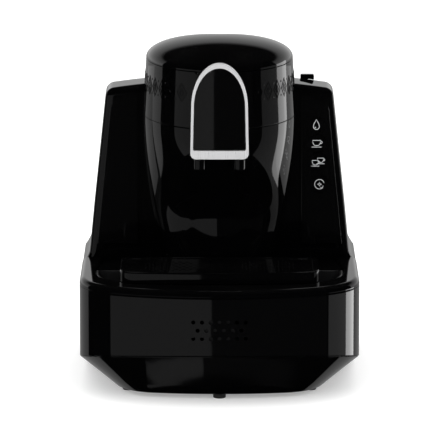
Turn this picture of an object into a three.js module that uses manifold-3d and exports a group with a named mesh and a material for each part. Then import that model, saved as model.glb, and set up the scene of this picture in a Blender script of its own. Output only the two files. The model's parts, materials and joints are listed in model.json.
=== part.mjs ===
// Electric Turkish coffee maker: millimetres, +Z up, front towards -Y.
// The origin is at the bottom centre of the box that holds the machine.
import * as THREE from "three";
import { mergeVertices } from "three/addons/utils/BufferGeometryUtils.js";
import Module from "manifold-3d";

const wasm = await Module();
wasm.setup();

// Driving sizes of the whole machine
const machineWidth = 240;
const machineDepth = 270;
const footHeight = 4;
const wall = 2.5;
const gap = 0.3;
const overrun = 10;
const weld = 0.0005;
const sliver = 0.01;

const halfWidth = machineWidth / 2;
const frontY = -machineDepth / 2;
const backY = machineDepth / 2;

// Base: the upright band, the belly under it and the rim on top
const frontRadius = 239;
const cornerRadius = 55;
const rearRadius = 22;
const bandTop = 93.3;
const rimTall = 6.7;
const rimTop = bandTop + rimTall;
const rimRound = 5;
const rimShares = [0.12, 0.45];
const creaseFront = 43.5;
const creaseBack = 10;
const creaseSlope = 0.2;
const bellyTuck = 32;
const bellyHalf = halfWidth - bellyTuck;
const bellyFrontTuck = 30;
const bellyFront = frontY + bellyFrontTuck;
const bellyRearTuck = 8;
const bellyBack = backY - bellyRearTuck;
const bellyFrontRadius = 300;
const bellyCorner = 38;

// Basin in the rim, with the tray pocket in front and a fixed deck behind
const shoulderFront = 16;
const fixedDeck = 49;
const pocketBack = shoulderFront - fixedDeck;
const basinSide = 13;
const basinHalf = halfWidth - basinSide;
const basinLip = 29;
const basinFront = frontY + basinLip;
const basinPower = 3;
const basinDeep = 36;
const basinFloor = rimTop - basinDeep;
const deckDrop = 3;
const deckTop = rimTop - deckDrop;
const basinNarrow = 7;
const trayDrop = 2;
const trayRim = rimTop - trayDrop;
const trayRound = 2.5;
const deckSide = 35;
const deckHalf = halfWidth - deckSide;
const deckLip = 28;
const deckFront = frontY + deckLip;
const deckClear = 2;
const deckBack = pocketBack - deckClear;
const deckCorner = 14;
const deckBow = 4;
const deckRise = 10;
const cupLevel = rimTop + deckRise;

// Shoulders at the rear, crowned and falling to the rear
const shoulderTop = 256;
const shoulderHalf = 98.8;
const shoulderLean = 0.098;
const shoulderRound = 7;
const shoulderCorner = 6;
const acrossShares = [0, 0.35, 0.7];
const flareUp = 6;
const flareTop = rimTop + flareUp;
const flareDown = 9;
const flareBottom = rimTop - flareDown;
const flareEdge = 0.97;
const flareOut = halfWidth + flareEdge - shoulderHalf - shoulderLean * (shoulderTop - flareBottom);
const flarePower = 1.5;
const crownRadius = 625;
const fallBehind = 40;
const fallStart = shoulderFront + fallBehind;
const rearFall = 0.24;
const crownTall = 106;
const crownStart = shoulderTop - crownTall;

// Brewing tower and its lid
const panelRoom = 32.8;
const towerHalf = shoulderHalf - panelRoom;
const footTaper = 19;
const towerFootHalf = towerHalf - footTaper;
const topTaper = 2.2;
const towerTopHalf = towerHalf - topTaper;
const potSet = 30;
const potRoom = 25;
const potRadius = towerHalf - potRoom;
const spoutRoom = 19;
const towerFront = shoulderFront - potSet - potRadius - spoutRoom;
const topSetback = 2;
const towerTopFront = towerFront + topSetback;
const columnInset = 1;
const columnFront = shoulderFront - potRadius + columnInset;
const hoseRoom = 19;
const towerBack = shoulderFront - potSet + potRadius + hoseRoom;
const towerPower = 3;
const tuckRise = 30;
const tuckBottom = cupLevel + tuckRise;
const midSeamDrop = 28;
const midSeam = shoulderTop - midSeamDrop;
const tuckDrop = 8;
const tuckTop = midSeam - tuckDrop;
const upperTall = 49;
const lidSeam = midSeam + upperTall;
const domeHeight = 22;
const lidAxisOut = 5.5;
const lidAxisY = towerBack + lidAxisOut;
const lidAxisDrop = 7;
const lidAxisZ = lidSeam - lidAxisDrop;

// Spout with its bright arch
const archHalf = 24.8;
const archLean = 0.8;
const archSpring = archHalf - archLean;
const archOver = 10;
const archTop = lidSeam + archOver;
const archCrown = 38;
const archShoulder = archTop - archCrown;
const archTall = 82.5;
const archBottom = archTop - archTall;
const archSide = 2.3;
const archCap = 4.2;
const archBar = 7.6;
const archCorner = 5;
const archProud = 14;
const archFront = towerFront - archProud;
const archDepth = 4.7;
const nozzleIn = 7.8;
const nozzleSpread = archHalf - nozzleIn;
const nozzleAhead = 2;
const nozzleY = towerFront - nozzleAhead;
const nozzleRadius = 4.7;
const nozzleTall = 10.5;
const nozzleTip = archBottom - nozzleTall;

// Brewing pot and heater
const potY = shoulderFront - potSet;
const potSheet = 1.2;
const outletRise = 3.5;
const outletZ = archBottom + outletRise;
const outletOverFloor = 8;
const potFloor = outletZ - outletOverFloor;
const potUnderLid = 9;
const potRim = lidSeam - potUnderLid;
const flangeOut = 4;
const potFlange = potRadius + flangeOut;
const heaterIn = 6;
const heaterRadius = potRadius - heaterIn;
const heaterThick = 10;
const inletDrop = 30;
const inletZ = potRim - inletDrop;
const outletRadius = 4;
const outletBore = 2.5;
const tubeSeatY = nozzleY + outletBore + wall / 3;
const hoseRadius = 4;
const hoseBore = 2.2;

// Water tank at the rear
const tankSide = 20.8;
const tankHalf = shoulderHalf - tankSide;
const tankBehind = 12;
const tankFront = towerBack + tankBehind;
const tankRaised = 28;
const tankFloor = rimTop + tankRaised;
const tankSunk = 13;
const tankTop = shoulderTop - tankSunk;
const tankWall = 2;
const tankCorner = 10;
const valveAhead = 0.5;
const valveY = (tankFront + backY) / 2 - valveAhead;

// Colours and finishes, from the photograph
const glossBlack = { color: 0x0b0b0c, roughness: 0.08, metalness: 0 };
const softBlack = { color: 0x161617, roughness: 0.45, metalness: 0 };
const satinChrome = { color: 0xc9cbcd, roughness: 0.25, metalness: 1 };
const steel = { color: 0xb4b6b8, roughness: 0.35, metalness: 1 };
const greyMark = { color: 0xc6c8ca, roughness: 0.4, metalness: 0 };
const smokeClear = { color: 0x2a2c2f, roughness: 0.1, metalness: 0 };
const rubberBlack = { color: 0x121212, roughness: 0.9, metalness: 0 };
const rubberGrey = { color: 0x8d8f90, roughness: 0.8, metalness: 0 };
const boardGreen = { color: 0x1f5a36, roughness: 0.5, metalness: 0 };
const brass = { color: 0xb08a4a, roughness: 0.4, metalness: 1 };

// A closed mesh as a solid, and back
function solidOf(geometry) {
  const bare = new THREE.BufferGeometry();
  bare.setAttribute("position", geometry.getAttribute("position").clone());
  if (geometry.index) bare.setIndex(geometry.index.clone());
  const merged = mergeVertices(bare, weld);
  const mesh = new wasm.Mesh({
    numProp: 3,
    vertProperties: new Float32Array(merged.getAttribute("position").array),
    triVerts: new Uint32Array(merged.index.array),
    tolerance: sliver,
  });
  mesh.merge();
  return new wasm.Manifold(mesh);
}

function geometryOf(solid) {
  const mesh = solid.getMesh();
  const geometry = new THREE.BufferGeometry();
  geometry.setAttribute("position", new THREE.BufferAttribute(mesh.vertProperties, 3));
  geometry.setIndex(new THREE.BufferAttribute(mesh.triVerts, 1));
  geometry.computeVertexNormals();
  return geometry;
}

function join(first, ...others) {
  return geometryOf(others.reduce((sum, other) => sum.add(solidOf(other)), solidOf(first)));
}

function cut(first, ...others) {
  return geometryOf(others.reduce((rest, other) => rest.subtract(solidOf(other)), solidOf(first)));
}

function keep(first, second) {
  return geometryOf(solidOf(first).intersect(solidOf(second)));
}

// Simple shapes, each placed by the numbers that it is known by
function block(x0, x1, y0, y1, z0, z1) {
  const box = new THREE.BoxGeometry(x1 - x0, y1 - y0, z1 - z0);
  return box.translate((x0 + x1) / 2, (y0 + y1) / 2, (z0 + z1) / 2);
}

function rod(radius, from, to, sides = 16) {
  const start = new THREE.Vector3(...from);
  const run = new THREE.Vector3(...to).sub(start);
  const shape = new THREE.CylinderGeometry(radius, radius, run.length(), sides);
  const turn = new THREE.Quaternion().setFromUnitVectors(new THREE.Vector3(0, 1, 0), run.clone().normalize());
  const middle = start.addScaledVector(run, 1 / 2);
  return shape.applyQuaternion(turn).translate(middle.x, middle.y, middle.z);
}

function pipe(outer, bore, from, to, sides = 16) {
  const start = new THREE.Vector3(...from);
  const end = new THREE.Vector3(...to);
  const extra = end.clone().sub(start).setLength(overrun);
  const inner = rod(bore, start.clone().sub(extra).toArray(), end.clone().add(extra).toArray(), sides);
  return cut(rod(outer, from, to, sides), inner);
}

function lathe(points, x, y, sides = 32) {
  const profile = points.map(([radius, z]) => new THREE.Vector2(radius, z));
  return new THREE.LatheGeometry(profile, sides).rotateX(Math.PI / 2).translate(x, y, 0);
}

function disc(radius, x, y, z0, z1, sides = 24) {
  return rod(radius, [x, y, z0], [x, y, z1], sides);
}

// Skin through rings that all have as many points, counted anticlockwise from above
function loft(rings) {
  const count = rings[0].length;
  const positions = rings.flat().flatMap((p) => [p.x, p.y, p.z]);
  const index = [];
  for (let level = 0; level + 1 < rings.length; level++) {
    for (let i = 0; i < count; i++) {
      const a = level * count + i;
      const b = level * count + ((i + 1) % count);
      index.push(a, b, b + count, a, b + count, a + count);
    }
  }
  const last = (rings.length - 1) * count;
  const flat = rings[0].map((p) => new THREE.Vector2(p.x, p.y));
  for (const [a, b, c] of THREE.ShapeUtils.triangulateShape(flat, [])) index.push(a, c, b);
  const top = rings.at(-1).map((p) => new THREE.Vector2(p.x, p.y));
  for (const [a, b, c] of THREE.ShapeUtils.triangulateShape(top, [])) index.push(last + a, last + b, last + c);
  const geometry = new THREE.BufferGeometry();
  geometry.setAttribute("position", new THREE.Float32BufferAttribute(positions, 3));
  geometry.setIndex(index);
  return geometry;
}

function steps(from, to, count) {
  return Array.from({ length: count + 1 }, (_, i) => from + ((to - from) * i) / count);
}

function arc(cx, cy, radius, from, to, count) {
  const angles = steps(from, to, count);
  return angles.map((angle) => new THREE.Vector2(cx + radius * Math.cos(angle), cy + radius * Math.sin(angle)));
}

function mirrored(half) {
  const other = half.filter((p) => p.x > weld).map((p) => new THREE.Vector2(-p.x, p.y));
  return [...half, ...other.reverse()];
}

const lift = (outline, height) =>
  outline.map((p) => new THREE.Vector3(p.x, p.y, typeof height === "function" ? height(p.x, p.y) : height));

const smooth = (t) => THREE.MathUtils.smoothstep(t, 0, 1);

// Outline with a bulging front, straight sides and a flat rear with round corners
function basePlan({ half, front, back, bulge, corner, rear }, inset = 0) {
  const [h, f, b] = [half - inset, front + inset, back - inset];
  const [big, small, behind] = [bulge - inset, corner - inset, rear - inset];
  const centreY = f + big;
  const cornerX = h - small;
  const cornerY = centreY - Math.sqrt((big - small) ** 2 - cornerX ** 2);
  const meet = Math.atan2(cornerY - centreY, cornerX);
  const sideSteps = 6;
  const side = Array.from({ length: sideSteps - 1 }, (_, i) => {
    const share = (i + 1) / sideSteps;
    return new THREE.Vector2(h, cornerY + (b - behind - cornerY) * share);
  });
  return mirrored([
    ...arc(0, centreY, big, -Math.PI / 2, meet, 7),
    ...arc(cornerX, cornerY, small, meet, 0, 5).slice(1),
    ...side,
    ...arc(h - behind, b - behind, behind, 0, Math.PI / 2, 5),
  ]);
}

const bandSizes = {
  half: halfWidth,
  front: frontY,
  back: backY,
  bulge: frontRadius,
  corner: cornerRadius,
  rear: rearRadius,
};
const bellySizes = {
  half: bellyHalf,
  front: bellyFront,
  back: bellyBack,
  bulge: bellyFrontRadius,
  corner: bellyCorner,
  rear: rearRadius,
};

const creaseHeight = (x, y) => Math.max(creaseBack, creaseFront - creaseSlope * (y - frontY));

function bottomPan() {
  const outside = loft([lift(basePlan(bellySizes), footHeight), lift(basePlan(bandSizes), creaseHeight)]);
  const inside = loft([
    lift(basePlan(bellySizes, wall), footHeight + wall),
    lift(basePlan(bandSizes, wall), (x, y) => creaseHeight(x, y) + wall / 2),
    lift(basePlan(bandSizes, wall), creaseFront + overrun),
  ]);
  return cut(outside, inside);
}

// Band with the sounder's holes in front and the gland's hole behind
const grillePitch = 7.4;
const grilleRows = [7, 6, 7];
const grilleRise = 7.1;
const grilleDrop = 27.3;
const grilleZ = bandTop - grilleDrop;
const grilleRadius = 1.75;
const glandIn = 60;
const glandX = halfWidth - glandIn;
const glandUp = 20;
const glandZ = creaseBack + glandUp;
const glandRadius = 8;

function grilleHoles() {
  return grilleRows.flatMap((count, row) =>
    Array.from({ length: count }, (_, i) => {
      const x = (i - (count - 1) / 2) * grillePitch;
      const z = grilleZ + (1 - row) * grilleRise;
      return rod(grilleRadius, [x, frontY - overrun, z], [x, frontY + overrun, z], 8);
    }),
  );
}

function baseShell() {
  const outside = loft([
    lift(basePlan(bandSizes), (x, y) => creaseHeight(x, y) + gap),
    lift(basePlan(bandSizes), bandTop),
  ]);
  const inside = loft([
    lift(basePlan(bandSizes, wall), (x, y) => creaseHeight(x, y) - overrun),
    lift(basePlan(bandSizes, wall), bandTop + overrun),
  ]);
  const glandHole = rod(glandRadius + gap, [glandX, backY - overrun, glandZ], [glandX, backY + overrun, glandZ]);
  return cut(outside, inside, glandHole, ...grilleHoles());
}

function cordGland() {
  const outerEnd = [glandX, backY, glandZ];
  const innerFace = backY - wall - gap;
  const flangeThick = 5;
  const flangeOver = 3;
  const boreRadius = 3.6;
  const flange = rod(glandRadius + flangeOver, [glandX, innerFace - flangeThick, glandZ], [glandX, innerFace, glandZ]);
  const neck = rod(glandRadius, [glandX, innerFace - flangeThick, glandZ], outerEnd);
  const bore = rod(boreRadius, [glandX, innerFace - overrun, glandZ], [glandX, backY + overrun, glandZ]);
  return cut(join(flange, neck), bore);
}

// Half-superellipse outline of the basin, straight across at its back
function basinPlan(offset, back) {
  const half = basinHalf + offset;
  const depth = pocketBack - (basinFront - offset);
  const curve = steps(-Math.PI / 2, 0, 12).map((angle) => {
    const x = half * Math.abs(Math.cos(angle)) ** (2 / basinPower);
    const y = pocketBack - depth * Math.abs(Math.sin(angle)) ** (2 / basinPower);
    return new THREE.Vector2(x, y);
  });
  return mirrored([...curve, new THREE.Vector2(half - basinNarrow, back)]);
}

function trayFrame() {
  const [lowShare, highShare] = rimShares;
  const rim = loft([
    lift(basePlan(bandSizes), bandTop + gap),
    lift(basePlan(bandSizes, rimRound * lowShare), rimTop - rimRound),
    lift(basePlan(bandSizes, rimRound * highShare), rimTop - rimRound * highShare),
    lift(basePlan(bandSizes, rimRound), rimTop),
  ]);
  const rear = shoulderFront - gap;
  const frontPart = block(-halfWidth - overrun, halfWidth + overrun, frontY - overrun, rear, 0, rimTop + overrun);
  const tub = loft([lift(basinPlan(wall, rear), basinFloor - wall), lift(basinPlan(wall, rear), bandTop + wall)]);
  const pocket = loft([
    lift(basinPlan(0, pocketBack + wall), basinFloor),
    lift(basinPlan(0, pocketBack + wall), rimTop - trayRound),
    lift(basinPlan(trayRound, pocketBack + wall), rimTop + gap),
    lift(basinPlan(trayRound, pocketBack + wall), rimTop + overrun),
  ]);
  const deck = loft([
    lift(basinPlan(0, rear + overrun), deckTop),
    lift(basinPlan(0, rear + overrun), rimTop - trayRound),
    lift(basinPlan(trayRound, rear + overrun), rimTop + gap),
    lift(basinPlan(trayRound, rear + overrun), rimTop + overrun),
  ]);
  const underDeck = block(-basinHalf, basinHalf, pocketBack + wall * 2, rear - wall, 0, deckTop - wall);
  const pocketOnly = keep(
    pocket,
    block(-machineWidth, machineWidth, frontY - overrun, pocketBack + wall, 0, rimTop + overrun * 2),
  );
  return cut(join(keep(rim, frontPart), keep(tub, frontPart)), pocketOnly, deck, underDeck);
}

// Drip tray and the raised platform on it, both lifted out by hand
function dripTray() {
  const rear = pocketBack - gap;
  const outside = loft([
    lift(basinPlan(-gap * 2, rear), basinFloor + gap),
    lift(basinPlan(-gap * 2, rear), trayRim),
  ]);
  const inside = loft([
    lift(basinPlan(-gap * 2 - wall, rear - wall), basinFloor + gap + wall),
    lift(basinPlan(-gap * 2 - wall, rear - wall), trayRim + overrun),
  ]);
  const ribHalf = 1.5;
  const ribTop = cupLevel - wall - gap;
  const ribFront = deckFront + (deckHalf - deckCorner) / 2;
  const ribs = [-1, 1].map((side) => {
    const x = (side * deckHalf) / 2;
    return block(x - ribHalf, x + ribHalf, ribFront, deckBack - wall - gap, basinFloor + wall, ribTop);
  });
  return join(cut(outside, inside), ...ribs);
}

const holePitch = 6.2;
const holeRadius = 1.6;
const zoneEdge = 14;
const zoneSide = 33;
const holeColumns = Math.floor((deckHalf - zoneSide) / holePitch);
const holeRows = Math.floor((deckBack - deckFront - zoneEdge * 2) / holePitch);
const zoneOut = 0.5;
const zoneX = deckHalf / 2 + zoneOut;
const zoneAhead = 3;
const zoneY = (deckFront + deckBack) / 2 - zoneAhead;

function platformPlan(inset) {
  const corner = deckCorner - inset;
  const [h, f, b] = [deckHalf - inset, deckFront + inset, deckBack - inset];
  return mirrored([
    new THREE.Vector2(0, f),
    new THREE.Vector2((h - corner) / 2, f + deckBow / 4),
    ...arc(h - corner, f + corner + deckBow, corner, -Math.PI / 2, 0, 5),
    ...arc(h - corner / 2, b - corner / 2, corner / 2, 0, Math.PI / 2, 3),
  ]);
}

function platformHoles() {
  const holes = [];
  for (const side of [-1, 1]) {
    for (let row = 0; row < holeRows; row++) {
      const odd = row % 2;
      const count = holeColumns - odd - (row === 0 || row === holeRows - 1 ? 2 : 0);
      for (let i = 0; i < count; i++) {
        const x = side * zoneX + (i - (count - 1) / 2) * holePitch;
        const y = zoneY + (row - (holeRows - 1) / 2) * holePitch;
        holes.push(disc(holeRadius, x, y, cupLevel - overrun, cupLevel + overrun, 6));
      }
    }
  }
  return holes;
}

function cupPlatform() {
  const edge = 1.5;
  const outside = loft([
    lift(platformPlan(0), rimTop + gap),
    lift(platformPlan(0), cupLevel - edge),
    lift(platformPlan(edge), cupLevel),
  ]);
  const inside = loft([
    lift(platformPlan(wall), rimTop - overrun),
    lift(platformPlan(wall), cupLevel - wall),
  ]);
  return cut(outside, inside, ...platformHoles());
}

// Rear shoulders: leaning sides that flare out at the foot, a crowned top that falls to the rear
function shoulderHalfAt(z) {
  const flareShare = Math.max(0, (flareTop - z) / (flareTop - flareBottom));
  return shoulderHalf + shoulderLean * (shoulderTop - z) + flareOut * flareShare ** flarePower;
}

function shoulderPlan(z, inset) {
  const h = shoulderHalfAt(z) - inset;
  const [f, b] = [shoulderFront + inset, backY - inset];
  const rear = rearRadius - inset;
  const small = Math.max(shoulderCorner - inset, wall / 2);
  const across = acrossShares.map((share) => new THREE.Vector2((h - small) * share, f));
  const behind = acrossShares.map((share) => new THREE.Vector2((h - rear) * share, b));
  return mirrored([
    ...across,
    ...arc(h - small, f + small, small, -Math.PI / 2, 0, 4),
    new THREE.Vector2(h, fallStart),
    ...arc(h - rear, b - rear, rear, 0, Math.PI / 2, 5),
    ...behind.reverse(),
  ]);
}

const topDrop = (x, y) => x ** 2 / (2 * crownRadius) + Math.max(0, y - fallStart) * rearFall;
const crownAt = (z) => (x, y) => z - topDrop(x, y) * Math.max(0, (z - crownStart) / (shoulderTop - crownStart));

function shoulderSolid(inset, bottom, top) {
  const flare = steps(flareBottom, flareTop, 3);
  const heights = [...flare, crownStart].filter((z) => z > bottom && z < top);
  const rings = [bottom, ...heights].map((z) => lift(shoulderPlan(z, inset), crownAt(z)));
  for (const angle of steps(0, Math.PI / 2, 3)) {
    const round = shoulderRound * (1 - Math.cos(angle));
    const z = top - shoulderRound * (1 - Math.sin(angle));
    rings.push(lift(shoulderPlan(z, inset + round), crownAt(z)));
  }
  return loft(rings);
}

const seatClear = 2;
const seatTop = tankFloor - seatClear;
const mouthOver = 3;
const mouthHalf = towerFootHalf + mouthOver;
const mouthUp = 12;
const mouthBottom = rimTop + mouthUp;

function backBody() {
  const bottom = bandTop + gap;
  const outside = shoulderSolid(0, bottom, shoulderTop);
  const niche = tankHalf + gap * 2;
  const nicheFront = tankFront - gap * 2;
  const nicheShell = block(-niche - wall, niche + wall, nicheFront - wall, backY + overrun, seatTop - wall, shoulderTop);
  const nicheRoom = block(-niche, niche, nicheFront, backY + overrun, seatTop, shoulderTop + overrun);
  const inside = cut(shoulderSolid(wall, bottom - overrun, shoulderTop - wall), nicheShell);
  const mouth = block(-mouthHalf, mouthHalf, shoulderFront - overrun, shoulderFront + overrun, mouthBottom, lidSeam);
  const topMouth = block(-mouthHalf, mouthHalf, shoulderFront - overrun, towerBack - wall * 4, midSeam, lidSeam);
  const feedHole = disc(hoseRadius * 2, 0, valveY, seatTop - overrun, seatTop + overrun, 16);
  return cut(outside, inside, nicheRoom, mouth, topMouth, feedHole);
}

// Glossy panels let into the shoulders' front faces
const panelInset = 6;
const panelThick = 2;
const panelSide = 5;
const panelInner = towerHalf + panelSide;
const panelBottom = mouthBottom;
const panelCorner = 12;

function panelOutline(side) {
  const corner = panelCorner;
  const top = (x) => shoulderTop - x ** 2 / (2 * crownRadius) - panelInset - shoulderRound / 3;
  const edge = (z) => shoulderHalfAt(z) - panelInset;
  const outerTop = edge(top(shoulderHalf));
  const cornerZ = top(outerTop) - corner;
  const round = arc(outerTop - corner, cornerZ, corner, 0, Math.PI / 2, 5);
  const points = [
    new THREE.Vector2(panelInner, panelBottom),
    new THREE.Vector2(edge(panelBottom), panelBottom),
    new THREE.Vector2(edge(crownStart), crownStart),
    ...round,
    new THREE.Vector2(panelInner, top(panelInner)),
  ];
  return side > 0 ? points : points.map((p) => new THREE.Vector2(-p.x, p.y)).reverse();
}

// Outline in x and z, extruded from one y to another
function standing(outline, y0, y1, holes = []) {
  const shape = new THREE.Shape(outline);
  for (const hole of holes) shape.holes.push(new THREE.Path(hole));
  const solid = new THREE.ExtrudeGeometry(shape, { depth: y1 - y0, bevelEnabled: false });
  return solid.rotateX(Math.PI / 2).translate(0, y1, 0);
}

const keyIn = 13.6;
const keyX = shoulderHalf - keyIn;
const keyDriftShare = 0.055;
const keyRadius = 7.5;
const firstKeyDrop = 55;
const firstKeyZ = shoulderTop - firstKeyDrop;
const keyPitch = 16;
const cleanPitch = 20;
const keyZs = {
  key_one_cup: firstKeyZ,
  key_two_cups: firstKeyZ - keyPitch,
  key_clean: firstKeyZ - keyPitch - cleanPitch,
};
const indicatorRise = 16.5;
const indicatorZ = firstKeyZ + indicatorRise;
const indicatorRadius = 6.5;
const keyTravel = 0.8;
const stemRadius = 3;
const switchTall = 5;
const boardBehind = 14;
const boardY = shoulderFront + boardBehind;
const boardThick = 1.6;
const boardHalf = 9;
const boardOver = 15.5;
const boardPostIn = 4.5;

const keyXAt = (z) => keyX + (keyZs.key_one_cup - z) * keyDriftShare;

function panelFace(side) {
  const face = standing(panelOutline(side), shoulderFront - gap - panelThick, shoulderFront - gap);
  if (side < 0) return face;
  const holes = Object.values(keyZs).map((z) => {
    const x = keyXAt(z);
    return rod(keyRadius + gap, [x, shoulderFront - overrun, z], [x, shoulderFront + overrun, z], 20);
  });
  const x = keyXAt(indicatorZ);
  const lensHole = rod(
    indicatorRadius + gap,
    [x, shoulderFront - overrun, indicatorZ],
    [x, shoulderFront + overrun, indicatorZ],
    20,
  );
  return cut(face, ...holes, lensHole);
}

const faceY = shoulderFront - gap - panelThick;

function pressKey(z) {
  const x = keyXAt(z);
  const cap = rod(keyRadius, [x, faceY, z], [x, faceY + panelThick - keyTravel, z], 20);
  const stem = rod(stemRadius, [x, faceY + panelThick / 2, z], [x, boardY - switchTall - gap - keyTravel, z], 12);
  return join(cap, stem);
}

function indicatorLens() {
  const x = keyXAt(indicatorZ);
  const lens = rod(indicatorRadius, [x, faceY, indicatorZ], [x, shoulderFront - gap, indicatorZ], 20);
  const guide = rod(stemRadius, [x, faceY + panelThick / 2, indicatorZ], [x, boardY - gap, indicatorZ], 12);
  return join(lens, guide);
}

const boardBottom = keyZs.key_clean - boardOver;
const boardTop = indicatorZ + boardOver;

function controlBoard() {
  const sheet = block(keyX - boardHalf, keyX + boardHalf, boardY, boardY + boardThick, boardBottom, boardTop);
  const switches = Object.values(keyZs).map((z) => {
    const x = keyXAt(z);
    return block(x - stemRadius, x + stemRadius, boardY - switchTall, boardY, z - stemRadius, z + stemRadius);
  });
  return join(sheet, ...switches);
}

function boardPosts() {
  const radius = 2.5;
  const inner = shoulderFront + wall - gap;
  const heights = [boardBottom + boardPostIn, boardTop - boardPostIn];
  return heights.map((z) => rod(radius, [keyX, inner, z], [keyX, boardY - gap, z], 10));
}

// Shoulder body with the holes and posts that the controls need
function controlsFront(body) {
  const stems = [...Object.values(keyZs), indicatorZ].map((z) => {
    const x = keyXAt(z);
    return rod(stemRadius + gap, [x, shoulderFront - overrun, z], [x, shoulderFront + overrun, z], 12);
  });
  return join(cut(body, ...stems), ...boardPosts());
}

// Tower: a deep half-ellipse ahead of the shoulders, tucked in below the spout
function towerHalfAt(z) {
  if (z >= midSeam) return THREE.MathUtils.mapLinear(z, midSeam, lidSeam, towerHalf, towerTopHalf);
  const share = (midSeam - z) / (midSeam - deckTop);
  return towerHalf - (towerHalf - towerFootHalf) * share ** 2;
}

function towerFrontAt(z) {
  if (z >= midSeam) return THREE.MathUtils.mapLinear(z, midSeam, lidSeam, towerFront, towerTopFront);
  return columnFront + (towerFront - columnFront) * smooth((z - tuckBottom) / (tuckTop - tuckBottom));
}

function towerPlan(z, inset) {
  const h = towerHalfAt(z) - inset;
  const ahead = shoulderFront - (towerFrontAt(z) + inset);
  const astern = towerBack - inset - shoulderFront;
  const ellipse = (angle) => new THREE.Vector2(h * Math.cos(angle), shoulderFront + ahead * Math.sin(angle));
  const rounded = (angle) => {
    const x = h * Math.cos(angle) ** (2 / towerPower);
    return new THREE.Vector2(x, shoulderFront + astern * Math.sin(angle) ** (2 / towerPower));
  };
  const front = steps(-Math.PI / 2, 0, 12).map(ellipse);
  const rear = steps(0, Math.PI / 2, 7).slice(1, -1).map(rounded);
  return mirrored([...front, ...rear, new THREE.Vector2(0, shoulderFront + astern)]);
}

function towerSolid(inset, heights) {
  return loft(heights.map((z) => lift(towerPlan(z, inset), z)));
}

const lowerHeights = steps(deckTop + gap, midSeam - gap / 2, 9);
const upperHeights = steps(midSeam + gap / 2, lidSeam - gap, 2);

function towerLower() {
  const outside = towerSolid(0, lowerHeights);
  const inside = towerSolid(wall, [...lowerHeights, midSeam + overrun]);
  const behind = block(-machineWidth, machineWidth, shoulderFront - gap, backY, 0, lidSeam);
  const outletHole = rod(outletRadius + gap, [0, towerFront - overrun, outletZ], [0, potY - potRadius, outletZ]);
  return cut(outside, inside, behind, outletHole);
}

const notchHalf = 25;
const notchHeight = 5;
const earX = 17;
const earThick = 5;
const earRadius = 4;
const pinRadius = 1.5;

function hingeEars(x0, x1, reach, radius) {
  return [-1, 1].map((side) => {
    const [a, b] = side > 0 ? [x0, x1] : [-x1, -x0];
    const arm = block(a, b, reach, lidAxisY, lidAxisZ - radius, lidAxisZ + radius);
    return join(arm, rod(radius, [a, lidAxisY, lidAxisZ], [b, lidAxisY, lidAxisZ], 16));
  });
}

function towerUpper() {
  const top = lidSeam - gap;
  const outside = towerSolid(0, upperHeights);
  const inside = towerSolid(wall, [midSeam - overrun, ...upperHeights, lidSeam + overrun]);
  const shoulders = () => shoulderSolid(0, bandTop + gap, shoulderTop);
  const above = shoulders().translate(0, 0, gap);
  const ahead = shoulders().translate(0, -gap, 0);
  const notch = block(-notchHalf, notchHalf, towerFront - overrun, towerTopFront + wall * 2, top - notchHeight, lidSeam);
  const pinHole = rod(pinRadius + gap / 2, [-machineWidth, lidAxisY, lidAxisZ], [machineWidth, lidAxisY, lidAxisZ], 16);
  const ears = hingeEars(earX, earX + earThick, towerBack - wall, earRadius);
  return cut(join(cut(outside, inside, above, ahead, notch), ...ears), pinHole);
}

function lidHingePin() {
  const reach = earX + earThick;
  return rod(pinRadius, [-reach, lidAxisY, lidAxisZ], [reach, lidAxisY, lidAxisZ], 16);
}

// Lid: an elliptic dome drawn from the tower's outline at the seam
function dome(inset, bottom) {
  const outline = towerPlan(lidSeam, inset);
  const rounds = steps(0, Math.PI / 2, 7).slice(0, -1);
  const levels = rounds.map((angle) => {
    const shrunk = outline.map((p) => new THREE.Vector2(p.x, p.y).multiplyScalar(Math.cos(angle)));
    return lift(shrunk, lidSeam + (domeHeight - inset) * Math.sin(angle));
  });
  const start = lift(outline, bottom);
  const peak = outline.map((p) => new THREE.Vector2(p.x, p.y).multiplyScalar(Math.cos(rounds.at(-1)) / 3));
  levels.push(lift(peak, lidSeam + (domeHeight - inset) * Math.sin((rounds.at(-1) * 2 + Math.PI / 2) / 3)));
  return loft(bottom < lidSeam ? [start, ...levels] : levels);
}

function lidShell() {
  const shell = cut(dome(0, lidSeam), dome(wall, lidSeam - overrun));
  const inner = earX - gap;
  const radius = earRadius;
  const lugs = [-1, 1].map((side) => {
    const [a, b] = side > 0 ? [inner - earThick, inner] : [-inner, earThick - inner];
    const upright = block(a, b, towerBack - wall, lidAxisY + radius / 2, lidAxisZ, lidSeam + wall);
    return join(upright, rod(radius, [a, lidAxisY, lidAxisZ], [b, lidAxisY, lidAxisZ], 16));
  });
  const rearClear = block(-earX, earX, towerBack - wall - overrun, towerBack + gap, lidAxisZ - overrun, lidSeam);
  const pinHole = rod(pinRadius + gap / 2, [-machineWidth, lidAxisY, lidAxisZ], [machineWidth, lidAxisY, lidAxisZ], 16);
  return cut(join(shell, ...lugs.map((lug) => cut(lug, rearClear))), pinHole);
}

const sealWide = 3.5;
const sealInner = potRadius;
const sealOuter = sealInner + sealWide;
const sealThick = 3.5;
const linerThick = 2;
const linerShare = 0.9;

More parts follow.
